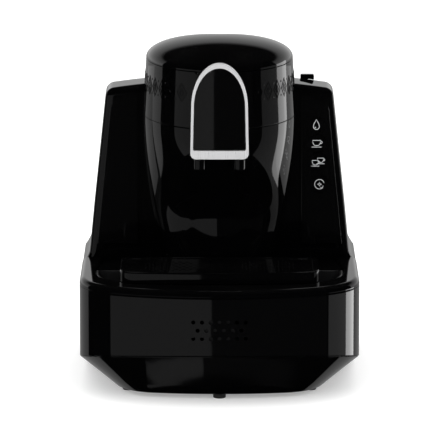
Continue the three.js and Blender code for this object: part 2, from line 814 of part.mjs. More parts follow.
function lidLiner() {
  const outline = towerPlan(lidSeam, wall).map((p) => new THREE.Vector2(p.x, p.y).multiplyScalar(linerShare));
  const plate = loft([lift(outline, lidSeam + gap), lift(outline, lidSeam + gap + linerThick)]);
  const sealTop = potRim + gap + sealThick + gap;
  const boss = pipe(sealOuter, sealInner, [0, potY, sealTop], [0, potY, lidSeam + gap + linerThick / 2], 32);
  const corner = linerShare * towerTopHalf;
  const foot = lidSeam + gap + linerThick / 2;
  const posts = [-1, 1].map((side) => disc(wall, (side * corner) / 2, 0, foot, lidSeam + domeHeight, 10));
  const kept = posts.map((post) => keep(post, dome(wall + gap, lidSeam - overrun)));
  return join(plate, boss, ...kept);
}

function lidSeal() {
  return pipe(sealOuter, sealInner, [0, potY, potRim + gap], [0, potY, potRim + gap + sealThick], 32);
}

// Spout: an arch-shaped body on the tower, with a bright frame and a dark inlay
function archOutline(offset, bottom, corner) {
  const half = archHalf - offset;
  const spring = archSpring - offset;
  const crown = archTop - archShoulder - (offset > 0 ? archCap : 0);
  const curve = steps(0, Math.PI, 14).map(
    (angle) => new THREE.Vector2(spring * Math.cos(angle), archShoulder + crown * Math.sin(angle)),
  );
  return [
    ...arc(half - corner, bottom + corner, corner, -Math.PI / 2, 0, 4),
    ...curve,
    ...arc(corner - half, bottom + corner, corner, Math.PI, (Math.PI * 3) / 2, 4),
  ];
}

const innerCorner = 1.5;
const panelSet = 1.2;

function archFrame() {
  const hole = archOutline(archSide, archBottom + archBar, innerCorner);
  return standing(archOutline(0, archBottom, archCorner), archFront, archFront + archDepth, [hole]);
}

function archPanel() {
  const outline = archOutline(archSide + gap, archBottom + archBar + gap, innerCorner);
  return standing(outline, archFront + panelSet, archFront + archDepth);
}

function spoutBody() {
  const front = archFront + archDepth + gap;
  const body = standing(archOutline(0, archBottom, archCorner), front, potY - potRadius);
  const tower = towerSolid(-gap * 1.5, [...lowerHeights, ...upperHeights, lidSeam + gap]);
  const clearLid = dome(-gap * 4, lidSeam - gap);
  const channel = rod(outletBore, [-nozzleSpread, nozzleY, outletZ], [nozzleSpread, nozzleY, outletZ], 12);
  const feed = rod(outletRadius + gap, [0, tubeSeatY, outletZ], [0, potY, outletZ], 16);
  const link = rod(outletBore, [0, nozzleY, outletZ], [0, potY, outletZ], 12);
  const drops = [-1, 1].map((side) => disc(outletBore, side * nozzleSpread, nozzleY, archBottom - overrun, outletZ, 12));
  return cut(body, tower, clearLid, channel, feed, link, ...drops);
}

function nozzle(side) {
  const x = side * nozzleSpread;
  const lip = 1;
  const profile = [
    [outletBore, nozzleTip],
    [nozzleRadius - lip, nozzleTip],
    [nozzleRadius, nozzleTip + lip],
    [nozzleRadius, archBottom - gap],
    [outletBore, archBottom - gap],
    [outletBore, nozzleTip],
  ];
  return lathe(profile, x, nozzleY, 16);
}

// Pot, heater, sensor and the two decks that carry them in the tower
function brewPot() {
  const inner = potRadius - potSheet;
  const round = 6;
  const profile = [
    [0, potFloor],
    [potRadius - round, potFloor],
    [potRadius, potFloor + round],
    [potRadius, potRim - potSheet],
    [potFlange, potRim - potSheet],
    [potFlange, potRim],
    [inner, potRim],
    [inner, potFloor + round],
    [inner - round, potFloor + potSheet],
    [0, potFloor + potSheet],
  ];
  const outlet = rod(outletBore, [0, potY - potRadius - overrun, outletZ], [0, potY - potRadius / 2, outletZ], 12);
  const inlet = rod(outletBore, [0, potY, inletZ], [0, potY + potRadius + overrun, inletZ], 12);
  return cut(lathe(profile, 0, potY, 32), outlet, inlet);
}

function towerDeck(z, thick, holeRadius) {
  const inset = wall + gap * 2.5;
  const plate = towerSolid(inset, [z, z + thick]);
  const behind = block(-machineWidth, machineWidth, shoulderFront - gap, backY, 0, lidSeam);
  return cut(plate, behind, disc(holeRadius, 0, potY, z - overrun, z + thick + overrun, 32));
}

const collarZ = potRim - potSheet - wall - gap;
const deckThick = 2.5;
const heaterTop = potFloor - gap;
const heaterDeckZ = heaterTop - heaterThick - gap - deckThick;
const sensorRadius = 6;
const sensorTail = 10;
const elementShare = 0.7;

function heaterPlate() {
  const plate = disc(heaterRadius, 0, potY, heaterTop - heaterThick / 2, heaterTop);
  const element = new THREE.TorusGeometry(heaterRadius * elementShare, heaterThick / 4, 6, 20);
  element.translate(0, potY, heaterTop - heaterThick / 2 - heaterThick / 8);
  const foot = pipe(sensorRadius + wall * 2, sensorRadius + gap, [0, potY, heaterTop - heaterThick], [0, potY, heaterTop - wall]);
  return join(plate, element, foot);
}

function temperatureSensor() {
  const head = disc(sensorRadius, 0, potY, heaterDeckZ - sensorTail, heaterTop - heaterThick / 2 - gap, 20);
  const flange = disc(sensorRadius + wall, 0, potY, heaterDeckZ - sensorTail, heaterDeckZ - gap, 20);
  return join(head, flange);
}

function dischargeTube() {
  const from = [0, potY - potRadius - gap, outletZ];
  const to = [0, tubeSeatY + gap, outletZ];
  return pipe(outletRadius, outletBore, from, to, 16);
}

// Hoses: a round section along a curve, hollow from end to end
function hose(points, outer, bore, stepCount) {
  const path = new THREE.CatmullRomCurve3(points.map((p) => new THREE.Vector3(...p)));
  const section = new THREE.Shape().absarc(0, 0, outer, 0, Math.PI * 2);
  section.holes.push(new THREE.Path().absarc(0, 0, bore, 0, Math.PI * 2, true));
  return new THREE.ExtrudeGeometry(section, { steps: stepCount, extrudePath: path, curveSegments: 4 });
}

// Water side: pump on its bracket, tank seat and the two hoses
const pumpX = -45;
const pumpAhead = 4;
const pumpY = valveY - pumpAhead;
const pumpRise = 42;
const pumpZ = footHeight + pumpRise;
const pumpRadius = 17;
const pumpHalf = 32;
const portLength = 8;

function pump() {
  const sideFace = pumpX + pumpHalf;
  const topFace = pumpZ + pumpRadius;
  const body = rod(pumpRadius, [pumpX - pumpHalf, pumpY, pumpZ], [sideFace, pumpY, pumpZ], 20);
  const inlet = rod(hoseRadius, [sideFace - gap, pumpY, pumpZ], [sideFace + portLength, pumpY, pumpZ], 12);
  const outlet = rod(hoseRadius, [pumpX, pumpY, topFace - wall], [pumpX, pumpY, topFace + portLength], 12);
  return join(body, inlet, outlet);
}

function pumpBracket() {
  const floor = footHeight + wall + gap;
  const half = pumpHalf / 2;
  const deep = pumpRadius + wall;
  const cradle = block(pumpX - half, pumpX + half, pumpY - deep, pumpY + deep, floor, pumpZ);
  const bed = rod(pumpRadius + gap, [pumpX - pumpHalf, pumpY, pumpZ], [pumpX + pumpHalf, pumpY, pumpZ], 20);
  const under = block(
    pumpX - half - overrun,
    pumpX + half + overrun,
    pumpY - deep + wall * 2,
    pumpY + deep - wall * 2,
    0,
    pumpZ - pumpRadius - wall,
  );
  return cut(cradle, bed, under);
}

const hoseLead = 10;
const riseIn = 2;
const riseY = towerBack - riseIn;
const seatRadius = 11;
const seatThick = 6;
const seatNeck = 5;
const tailLength = 17.5;
const seatUnder = seatTop - wall;

function tankSeat() {
  const base = disc(seatRadius, 0, valveY, seatUnder - gap - seatThick, seatUnder - gap, 24);
  const tail = disc(hoseRadius, 0, valveY, seatUnder - tailLength, seatUnder - gap, 12);
  const neck = disc(seatNeck, 0, valveY, seatUnder - gap - seatThick, seatTop - gap, 16);
  const bore = disc(hoseBore, 0, valveY, 0, tankFloor, 10);
  return cut(join(base, tail, neck), bore);
}

function suctionHose() {
  const top = seatUnder - tailLength - gap;
  const portEnd = pumpX + pumpHalf + portLength + gap;
  return hose(
    [
      [0, valveY, top],
      [0, valveY, top - hoseLead * 2],
      [hoseLead, pumpY, (top + pumpZ) / 2],
      [hoseLead, pumpY, pumpZ + hoseLead],
      [portEnd + hoseLead / 2, pumpY, pumpZ],
      [portEnd, pumpY, pumpZ],
    ],
    hoseRadius,
    hoseBore,
    14,
  );
}

function feedHose() {
  const start = pumpZ + pumpRadius + portLength + gap;
  const end = potY + potRadius + gap;
  return hose(
    [
      [pumpX, pumpY, start],
      [pumpX, pumpY, start + hoseLead],
      [pumpX, (pumpY + riseY) / 2, start + hoseLead * 2],
      [pumpX / 2, riseY, start + hoseLead * 4],
      [0, riseY, (start + inletZ) / 2],
      [0, riseY, inletZ - (hoseLead * 3) / 2],
      [0, end + hoseLead, inletZ],
      [0, end, inletZ],
    ],
    hoseRadius,
    hoseBore,
    26,
  );
}

// Tank with a sloping top, its lid and its outlet valve
function tankPlan(inset) {
  const [h, f, b] = [tankHalf - inset, tankFront + inset, backY - inset];
  const corner = tankCorner - inset;
  return mirrored([
    new THREE.Vector2(0, f),
    ...arc(h - corner, f + corner, corner, -Math.PI / 2, 0, 4),
    ...arc(h - corner, b - corner, corner, 0, Math.PI / 2, 4),
    new THREE.Vector2(0, b),
  ]);
}

const tankSlope = (top) => (x, y) => top - (y - tankFront) * rearFall;
const tankLidThick = 4;
const tankLidZ = tankTop + gap;
const valveRadius = 7;
const valveTall = 10;

function waterTank() {
  const outside = loft([
    lift(tankPlan(wall), tankFloor),
    lift(tankPlan(0), tankFloor + wall),
    lift(tankPlan(0), tankSlope(tankTop)),
  ]);
  const inside = loft([
    lift(tankPlan(wall + tankWall), tankFloor + tankWall),
    lift(tankPlan(tankWall), tankFloor + tankWall + wall),
    lift(tankPlan(tankWall), tankSlope(tankTop + overrun)),
  ]);
  const valveHole = disc(valveRadius, 0, valveY, tankFloor - overrun, tankFloor + overrun, 20);
  return cut(outside, inside, valveHole);
}

function tankValve() {
  const body = disc(valveRadius - gap, 0, valveY, tankFloor, tankFloor + tankWall + gap, 20);
  const head = disc(valveRadius + wall, 0, valveY, tankFloor + tankWall + gap, tankFloor + valveTall, 20);
  const bore = disc(hoseBore, 0, valveY, 0, tankTop, 10);
  return cut(join(body, head), bore);
}

const tabIn = 0.5;
const tabWide = 6.5;
const tabX1 = tankHalf - tabIn;
const tabX0 = tabX1 - tabWide;
const tabDepth = 5;
const tabDrop = 1;
const tabTop = shoulderTop - tabDrop;

function tankLid() {
  const plate = loft([
    lift(tankPlan(0), tankSlope(tankLidZ)),
    lift(tankPlan(0), tankSlope(tankLidZ + tankLidThick)),
  ]);
  const tab = block(tabX0, tabX1, tankFront + gap, tankFront + gap + tabDepth, tankLidZ, tabTop);
  return join(plate, tab);
}

// Sounder behind the holes, and the power board on the floor of the pan
function buzzer() {
  const radius = 14;
  const deep = 10;
  const back = frontY + wall + gap;
  const can = rod(radius, [0, back, grilleZ], [0, back + deep, grilleZ], 20);
  const follow = loft([
    lift(basePlan(bandSizes, wall + gap), grilleZ - machineWidth),
    lift(basePlan(bandSizes, wall + gap), grilleZ + machineWidth),
  ]);
  return keep(can, follow);
}

const powerSide = 12;
const powerWide = 68;
const powerRear = 51;
const powerDeep = 54;
const relaySize = { wide: 20, deep: 16, tall: 16 };
const coilSize = { wide: 18, deep: 20, tall: 20 };
const smoother = { radius: 6, tall: 22 };
const powerPost = { radius: 2.5, edge: 4, tall: 6 };
const powerMargin = 8;

function powerBoard() {
  const floor = footHeight + wall + gap;
  const right = bellyHalf - powerSide;
  const left = right - powerWide;
  const rear = backY - powerRear;
  const front = rear - powerDeep;
  const z = floor + powerPost.tall;
  const near = front + powerMargin;
  const relayX = left + powerMargin;
  const coilX = right - powerMargin;
  const sheet = block(left, right, front, rear, z, z + boardThick);
  const relay = block(relayX, relayX + relaySize.wide, near, near + relaySize.deep, z, z + relaySize.tall);
  const coil = block(coilX - coilSize.wide, coilX, near, near + coilSize.deep, z, z + coilSize.tall);
  const canX = relayX + relaySize.wide / 2;
  const can = disc(smoother.radius, canX, rear - powerMargin - smoother.radius, z, z + smoother.tall, 16);
  const posts = [left + powerPost.edge, right - powerPost.edge].flatMap((x) =>
    [front + powerPost.edge, rear - powerPost.edge].map((y) =>
      disc(powerPost.radius, x, y, floor, z + boardThick / 2, 8),
    ),
  );
  return join(sheet, relay, coil, can, ...posts);
}

// Feet under the belly
const footRadius = 5.5;
const noseFootIn = 7;
const frontFootIn = 10;
const frontFootBehind = 39;
const rearFootIn = 16;
const rearFootAhead = 15;
const frontFootX = bellyHalf - frontFootIn;
const frontFootY = bellyFront + frontFootBehind;
const rearFootX = bellyHalf - rearFootIn;
const rearFootY = bellyBack - rearFootAhead;
const feet = {
  foot_front: [0, bellyFront + noseFootIn],
  foot_front_left: [-frontFootX, frontFootY],
  foot_front_right: [frontFootX, frontFootY],
  foot_rear_left: [-rearFootX, rearFootY],
  foot_rear_right: [rearFootX, rearFootY],
};

function foot([x, y]) {
  const taper = 0.8;
  const profile = [
    [0, 0],
    [footRadius - taper, 0],
    [footRadius, taper],
    [footRadius, footHeight - gap],
    [0, footHeight - gap],
  ];
  return lathe(profile, x, y, 14);
}

const machine = new THREE.Group();

function addPiece(name, geometry, finish) {
  const piece = new THREE.Mesh(geometry, new THREE.MeshStandardMaterial(finish));
  piece.name = name;
  machine.add(piece);
}

addPiece("bottom_pan", bottomPan(), glossBlack);
addPiece("base_shell", baseShell(), glossBlack);
addPiece("tray_frame", trayFrame(), glossBlack);
addPiece("cord_gland", cordGland(), rubberBlack);
for (const [name, place] of Object.entries(feet)) addPiece(name, foot(place), rubberBlack);
addPiece("drip_tray", dripTray(), softBlack);
addPiece("cup_platform", cupPlatform(), glossBlack);
addPiece("back_body", controlsFront(backBody()), glossBlack);
addPiece("panel_left", panelFace(-1), glossBlack);
addPiece("panel_right", panelFace(1), glossBlack);
for (const [name, z] of Object.entries(keyZs)) addPiece(name, pressKey(z), greyMark);
addPiece("water_indicator", indicatorLens(), greyMark);
addPiece("control_board", controlBoard(), boardGreen);
addPiece("tower_lower", towerLower(), glossBlack);
addPiece("tower_upper", towerUpper(), glossBlack);
addPiece("lid_hinge_pin", lidHingePin(), steel);
addPiece("lid_shell", lidShell(), glossBlack);
addPiece("lid_liner", lidLiner(), softBlack);
addPiece("lid_seal", lidSeal(), rubberGrey);
addPiece("arch_frame", archFrame(), satinChrome);
addPiece("arch_panel", archPanel(), glossBlack);
addPiece("spout_body", spoutBody(), glossBlack);
addPiece("nozzle_left", nozzle(-1), softBlack);
addPiece("nozzle_right", nozzle(1), softBlack);
addPiece("brew_pot", brewPot(), steel);
addPiece("pot_collar", towerDeck(collarZ, deckThick, potRadius + gap * 2), softBlack);
addPiece("heater_plate", heaterPlate(), steel);
addPiece("heater_deck", towerDeck(heaterDeckZ, deckThick, sensorRadius + gap), softBlack);
addPiece("temperature_sensor", temperatureSensor(), brass);
addPiece("discharge_tube", dischargeTube(), rubberGrey);
addPiece("pump", pump(), softBlack);
addPiece("pump_bracket", pumpBracket(), steel);
addPiece("tank_seat", tankSeat(), softBlack);
addPiece("suction_hose", suctionHose(), rubberGrey);
addPiece("feed_hose", feedHose(), rubberGrey);
addPiece("water_tank", waterTank(), smokeClear);
addPiece("tank_valve", tankValve(), softBlack);
addPiece("tank_lid", tankLid(), glossBlack);
addPiece("buzzer", buzzer(), softBlack);
addPiece("power_board", powerBoard(), boardGreen);

export default machine;
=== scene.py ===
# Electric Turkish coffee maker: fine shells, finishes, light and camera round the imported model
import json
import math
import bpy
import bmesh
from mathutils import Matrix, Vector

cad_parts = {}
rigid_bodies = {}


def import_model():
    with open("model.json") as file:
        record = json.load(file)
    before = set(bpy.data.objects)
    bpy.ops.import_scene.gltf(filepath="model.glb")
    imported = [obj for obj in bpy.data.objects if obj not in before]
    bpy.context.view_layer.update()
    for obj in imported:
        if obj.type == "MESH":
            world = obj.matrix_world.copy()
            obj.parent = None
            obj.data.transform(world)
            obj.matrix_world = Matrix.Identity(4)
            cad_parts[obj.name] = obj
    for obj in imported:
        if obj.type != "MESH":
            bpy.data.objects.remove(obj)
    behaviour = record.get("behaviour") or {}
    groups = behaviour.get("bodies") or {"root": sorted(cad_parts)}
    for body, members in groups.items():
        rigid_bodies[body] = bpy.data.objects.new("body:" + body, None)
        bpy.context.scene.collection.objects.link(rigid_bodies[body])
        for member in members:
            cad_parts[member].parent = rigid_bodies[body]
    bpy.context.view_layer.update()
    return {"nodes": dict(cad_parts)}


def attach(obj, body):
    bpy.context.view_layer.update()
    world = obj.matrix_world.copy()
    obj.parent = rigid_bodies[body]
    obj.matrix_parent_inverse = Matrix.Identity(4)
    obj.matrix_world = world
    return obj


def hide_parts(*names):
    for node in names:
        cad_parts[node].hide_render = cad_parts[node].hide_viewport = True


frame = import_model()
nodes = frame["nodes"]
print("frame loaded:", len(nodes), "solids")

# Camera: a long lens, level with the machine's axis and a little above it
shot = {"distance": 4.0, "aim": (0.0, 0.0, 0.150), "elevation": 10.5, "lens": 385.0, "sensor": 36.0, "shiftX": -0.0105,
        "shiftY": -0.0256, "clipEnd": 40.0}


def addObject(name, data, place=(0.0, 0.0, 0.0)):
    made = bpy.data.objects.new(name, data)
    bpy.context.scene.collection.objects.link(made)
    made.location = place
    return made


def asObject(bm, name="cutter"):
    mesh = bpy.data.meshes.new(name)
    bm.to_mesh(mesh)
    bm.free()
    return addObject(name, mesh)


def buildCamera(values):
    data = bpy.data.cameras.new("shotCamera")
    data.lens = values["lens"]
    data.sensor_width = values["sensor"]
    data.shift_x = values["shiftX"]
    data.shift_y = values["shiftY"]
    data.clip_end = values["clipEnd"]
    tilt = math.radians(values["elevation"])
    place = Vector(values["aim"]) + values["distance"] * Vector((0.0, -math.cos(tilt), math.sin(tilt)))
    camera = addObject("shotCamera", data, place)
    camera.rotation_euler = (math.pi / 2 - tilt, 0.0, 0.0)
    bpy.context.scene.camera = camera


buildCamera(shot)


# Shader helpers
def addNode(tree, kind, **settings):
    node = tree.nodes.new("ShaderNode" + kind)
    for key, value in settings.items():
        setattr(node, key, value)
    return node


def link(tree, source, target):
    tree.links.new(source, target)


def setInputs(node, **values):
    for key, value in values.items():
        node.inputs[key.replace("_", " ")].default_value = value


def mapped(tree, source, low, high, outLow=0.0, outHigh=1.0, smooth=True):
    node = addNode(tree, "MapRange", interpolation_type="SMOOTHSTEP" if smooth else "LINEAR")
    setInputs(node, From_Min=low, From_Max=high, To_Min=outLow, To_Max=outHigh)
    link(tree, source, node.inputs["Value"])
    return node.outputs["Result"]


def calc(tree, operation, first, second):
    node = addNode(tree, "Math", operation=operation)
    for i, value in enumerate((first, second)):
        if isinstance(value, (int, float)):
            node.inputs[i].default_value = value
        else:
            link(tree, value, node.inputs[i])
    return node.outputs[0]


def times(tree, first, second):
    return calc(tree, "MULTIPLY", first, second)


def plus(tree, first, second):
    return calc(tree, "ADD", first, second)


def parted(tree, vector):
    node = addNode(tree, "SeparateXYZ")
    link(tree, vector, node.inputs[0])
    return node.outputs


# Light: a white room for the floor and the soft finishes, and a shaped one for what the gloss mirrors
room = {
    "white": 1.32,  # what lights the floor and the soft finishes
    "dim": 0.0015,  # the dark of the room in the gloss
    "rear": 0.36,  # light wall behind the machine, seen in the rims
    "rearHigh": 0.42,  # more of it at the height of the eye, seen on the lid and the shoulders
    "rearFall": 0.30,  # what is left of it at its upper edge
    "rearFrom": 0.446,  # how far round it reaches, as the cosine from straight behind
    "rearTop": 0.45,  # where it ends upwards, as the sine of the height
    "eye": (-0.12, 0.05),  # where it grows to what the eye's height has
    "soft": (0.02, -0.06, 0.04),  # how soft its side is, and its upper edge from below and from above
}
# Tall cards round the machine, in degrees from the front to the right, with their radiance: one set lights the base
# band, the other all else
cards = {
    "base": {"low": -1.4, "high": -0.6, "strip": (101.5, 127.5, 4.4), "greyRight": (60.7, 101.0, 0.46),
             "faintRight": (-3.2, 58.0, 0.027), "left": (-60.7, -3.3, 0.27)},
    "tower": {"low": -15.0, "high": 0.9, "strip": (117.0, 139.5, 1.8), "greyRight": (84.0, 116.5, 0.20),
              "faintRight": (-3.2, 66.0, 0.015), "left": (-89.0, -3.3, 0.27)},
}
cardDistance = 5.0
# Two cards just ahead of the panels, for the rims of light on them
rimCards = {"y": 0.0122, "z": 0.210, "tall": 0.12, "rimLeft": (-0.0818, 0.0235, 0.20), "rimRight": (0.088, 0.036, 0.34)}
# An arc of flat cards under the floor, which the belly mirrors
underCards = {"z": -0.55, "near": -0.160, "curl": 1.09, "deep": 0.019, "left": 0.21, "right": 0.024, "from": -0.205,
              "to": 0.215, "split": -0.05, "count": 8, "overlap": 1.08}


def buildWorld(values):
    world = bpy.data.worlds.new("studioRoom")
    bpy.context.scene.world = world
    world.use_nodes = True
    tree = world.node_tree
    tree.nodes.clear()
    way = parted(tree, addNode(tree, "TexCoord").outputs["Generated"])
    side, under, over = values["soft"]
    start, full = values["eye"]
    rear = mapped(tree, way["Y"], values["rearFrom"], values["rearFrom"] + side)
    level = mapped(tree, way["Z"], start, full, values["rear"], values["rear"] + values["rearHigh"])
    fall = mapped(tree, way["Z"], full, values["rearTop"], 1.0, values["rearFall"], smooth=False)
    below = mapped(tree, way["Z"], values["rearTop"] + under, values["rearTop"] + over, 1.0, 0.0)
    mirror = plus(tree, times(tree, times(tree, rear, times(tree, level, fall)), below), values["dim"])
    gloss = addNode(tree, "LightPath").outputs["Is Glossy Ray"]
    rest = times(tree, calc(tree, "SUBTRACT", 1.0, gloss), values["white"])
    background = addNode(tree, "Background")
    setInputs(background, Color=(1.0, 1.0, 1.0, 1.0))
    link(tree, plus(tree, times(tree, gloss, mirror), rest), background.inputs["Strength"])
    link(tree, background.outputs[0], addNode(tree, "OutputWorld").inputs["Surface"])


def buildCard(name, wide, tall, radiance, place, facing):
    data = bpy.data.lights.new(name, "AREA")
    data.shape = "RECTANGLE"
    data.size = wide
    data.size_y = tall
    data.energy = radiance * math.pi * wide * tall
    card = addObject(name, data, place)
    card.rotation_euler = Vector(facing).to_track_quat("-Z", "Y").to_euler()
    card.visible_camera = False
    return card


def buildCards():
    for part, values in cards.items():
        middle, tall = (values["low"] + values["high"]) / 2, values["high"] - values["low"]
        for name in ("strip", "greyRight", "faintRight", "left"):
            start, end, radiance = values[name]
            turn = math.radians((start + end) / 2)
            wide = 2 * cardDistance * math.tan(math.radians(end - start) / 2)
            place = (cardDistance * math.sin(turn), -cardDistance * math.cos(turn), middle)
            card = buildCard(part + name, wide, tall, radiance, place, (-math.sin(turn), math.cos(turn), 0.0))
            card["part"] = part
    for name in ("rimLeft", "rimRight"):
        x, wide, radiance = rimCards[name]
        buildCard(name, wide, rimCards["tall"], radiance, (x, rimCards["y"], rimCards["z"]), (0.0, -1.0, 0.0))
    step = (underCards["to"] - underCards["from"]) / underCards["count"]
    for i in range(underCards["count"]):
        x = underCards["from"] + step * (i + 0.5)
        radiance = underCards["left"] if x < underCards["split"] else underCards["right"]
        place = (x, underCards["near"] + underCards["curl"] * x * x, underCards["z"])
        wide, tall = step * underCards["overlap"], underCards["deep"]
        card = buildCard("under" + str(i), wide, tall, radiance, place, (0.0, 0.0, 1.0))
        card.rotation_euler = (math.pi, 0.0, math.atan(2 * underCards["curl"] * x))


buildWorld(room)
buildCards()
bpy.context.scene.view_settings.view_transform = "Standard"
print("camera and light stand")


# Shared effects: each puts out masks, values or normals that change over the surface
def startGroup(name, inputs, outputs):
    # Every group takes a vector first; the other inputs are named with their usual value
    group = bpy.data.node_groups.new(name, "ShaderNodeTree")
    group.interface.new_socket("Vector", in_out="INPUT", socket_type="NodeSocketVector")
    for socket, value in inputs.items():
        kind = "NodeSocketVector" if isinstance(value, tuple) else "NodeSocketFloat"
        group.interface.new_socket(socket, in_out="INPUT", socket_type=kind).default_value = value
    for socket in outputs:
        group.interface.new_socket(socket, in_out="OUTPUT", socket_type="NodeSocketFloat")
    return group, group.nodes.new("NodeGroupInput").outputs, group.nodes.new("NodeGroupOutput").inputs


def noise(tree, vector, scale, detail=3.0, roughness=0.5, distortion=0.0):
    node = addNode(tree, "TexNoise")
    setInputs(node, Detail=detail, Roughness=roughness, Distortion=distortion)
    if isinstance(scale, (int, float)):
        setInputs(node, Scale=scale)
    else:
        link(tree, scale, node.inputs["Scale"])
    link(tree, vector, node.inputs["Vector"])
    return node.outputs["Fac"]


def buildMouldedSkin():
    # Slow wave of a moulded wall, and the fine grain on it
    group, put, out = startGroup("mouldedSkin", {"Wave": 60.0, "Grain": 1500.0, "Grain share": 0.2}, ["Height", "Tone"])
    wave = noise(group, put["Vector"], put["Wave"], 2.0, 0.4)
    grain = noise(group, put["Vector"], put["Grain"], 3.0, 0.6)
    link(group, plus(group, wave, times(group, grain, put["Grain share"])), out["Height"])
    link(group, noise(group, put["Vector"], 21.0, 4.0, 0.55, 0.4), out["Tone"])
    return group


def buildHandling():
    # Wiped smears, hairline scratches and settled dust
    group, put, out = startGroup("handling", {"Smear scale": 26.0, "Dust amount": 0.5}, ["Smear", "Scratch", "Dust"])
    smear = noise(group, put["Vector"], put["Smear scale"], 5.0, 0.62, 1.2)
    link(group, mapped(group, smear, 0.46, 0.74), out["Smear"])
    stretch = addNode(group, "Mapping")
    setInputs(stretch, Rotation=(0.3, 0.7, 0.5), Scale=(1.0, 14.0, 14.0))
    link(group, put["Vector"], stretch.inputs["Vector"])
    hair = noise(group, stretch.outputs["Vector"], 42.0, 2.0, 0.7, 0.2)
    link(group, mapped(group, hair, 0.70, 0.76), out["Scratch"])
    speck = noise(group, put["Vector"], 900.0, 1.0)
    cloud = noise(group, put["Vector"], 18.0)
    facingUp = mapped(group, parted(group, addNode(group, "NewGeometry").outputs["Normal"])["Z"], 0.35, 0.95)
    specks = mapped(group, times(group, speck, plus(group, cloud, 0.55)), 0.62, 0.80)
    dust = times(group, plus(group, specks, times(group, cloud, 0.25)), facingUp)
    link(group, times(group, dust, put["Dust amount"]), out["Dust"])
    return group


def buildBrushed():
    # Fine lines of a brushed or drawn metal along one axis
    group, put, out = startGroup("brushedLines", {"Along": (1.0, 1.0, 40.0), "Scale": 90.0}, ["Lines"])
    stretch = addNode(group, "Mapping")
    link(group, put["Vector"], stretch.inputs["Vector"])
    link(group, put["Along"], stretch.inputs["Scale"])
    link(group, noise(group, stretch.outputs["Vector"], put["Scale"], 4.0, 0.65), out["Lines"])
    return group


mouldedSkin = buildMouldedSkin()
handling = buildHandling()
brushedLines = buildBrushed()


def placeGroup(tree, group, vector, **values):
    node = addNode(tree, "Group", node_tree=group)
    link(tree, vector, node.inputs["Vector"])
    setInputs(node, **values)
    return node.outputs


def blendColours(tree, factor, first, second):
    node = addNode(tree, "Mix", data_type="RGBA")
    link(tree, factor, node.inputs["Factor"])
    for socket, value in ((node.inputs[6], first), (node.inputs[7], second)):
        if isinstance(value, tuple):
            socket.default_value = (*value, 1.0)
        else:
            link(tree, value, socket)
    return node.outputs[2]


def placeSkin(tree, at, values):
    return placeGroup(tree, mouldedSkin, at, Wave=values["wave"], Grain=values["grain"],
                      Grain_share=values["grainShare"])


def placeMarks(tree, at, values):
    return placeGroup(tree, handling, at, Smear_scale=values["smearScale"], Dust_amount=values["dust"])


def startFinish(name, **steady):
    # A material with its shader, what stays the same all over set on the shader's own sockets
    material = bpy.data.materials.new(name)
    material.use_nodes = True
    tree = material.node_tree
    tree.nodes.clear()
    shader = addNode(tree, "BsdfPrincipled")
    setInputs(shader, **steady)
    link(tree, shader.outputs[0], addNode(tree, "OutputMaterial").inputs["Surface"])
    return material, tree, shader.inputs, addNode(tree, "TexCoord").outputs["Object"]


def bumpInto(tree, shader, height, strength, distance):
    bump = addNode(tree, "Bump")
    setInputs(bump, Strength=strength, Distance=distance)
    link(tree, height, bump.inputs["Height"])
    link(tree, bump.outputs["Normal"], shader["Normal"])


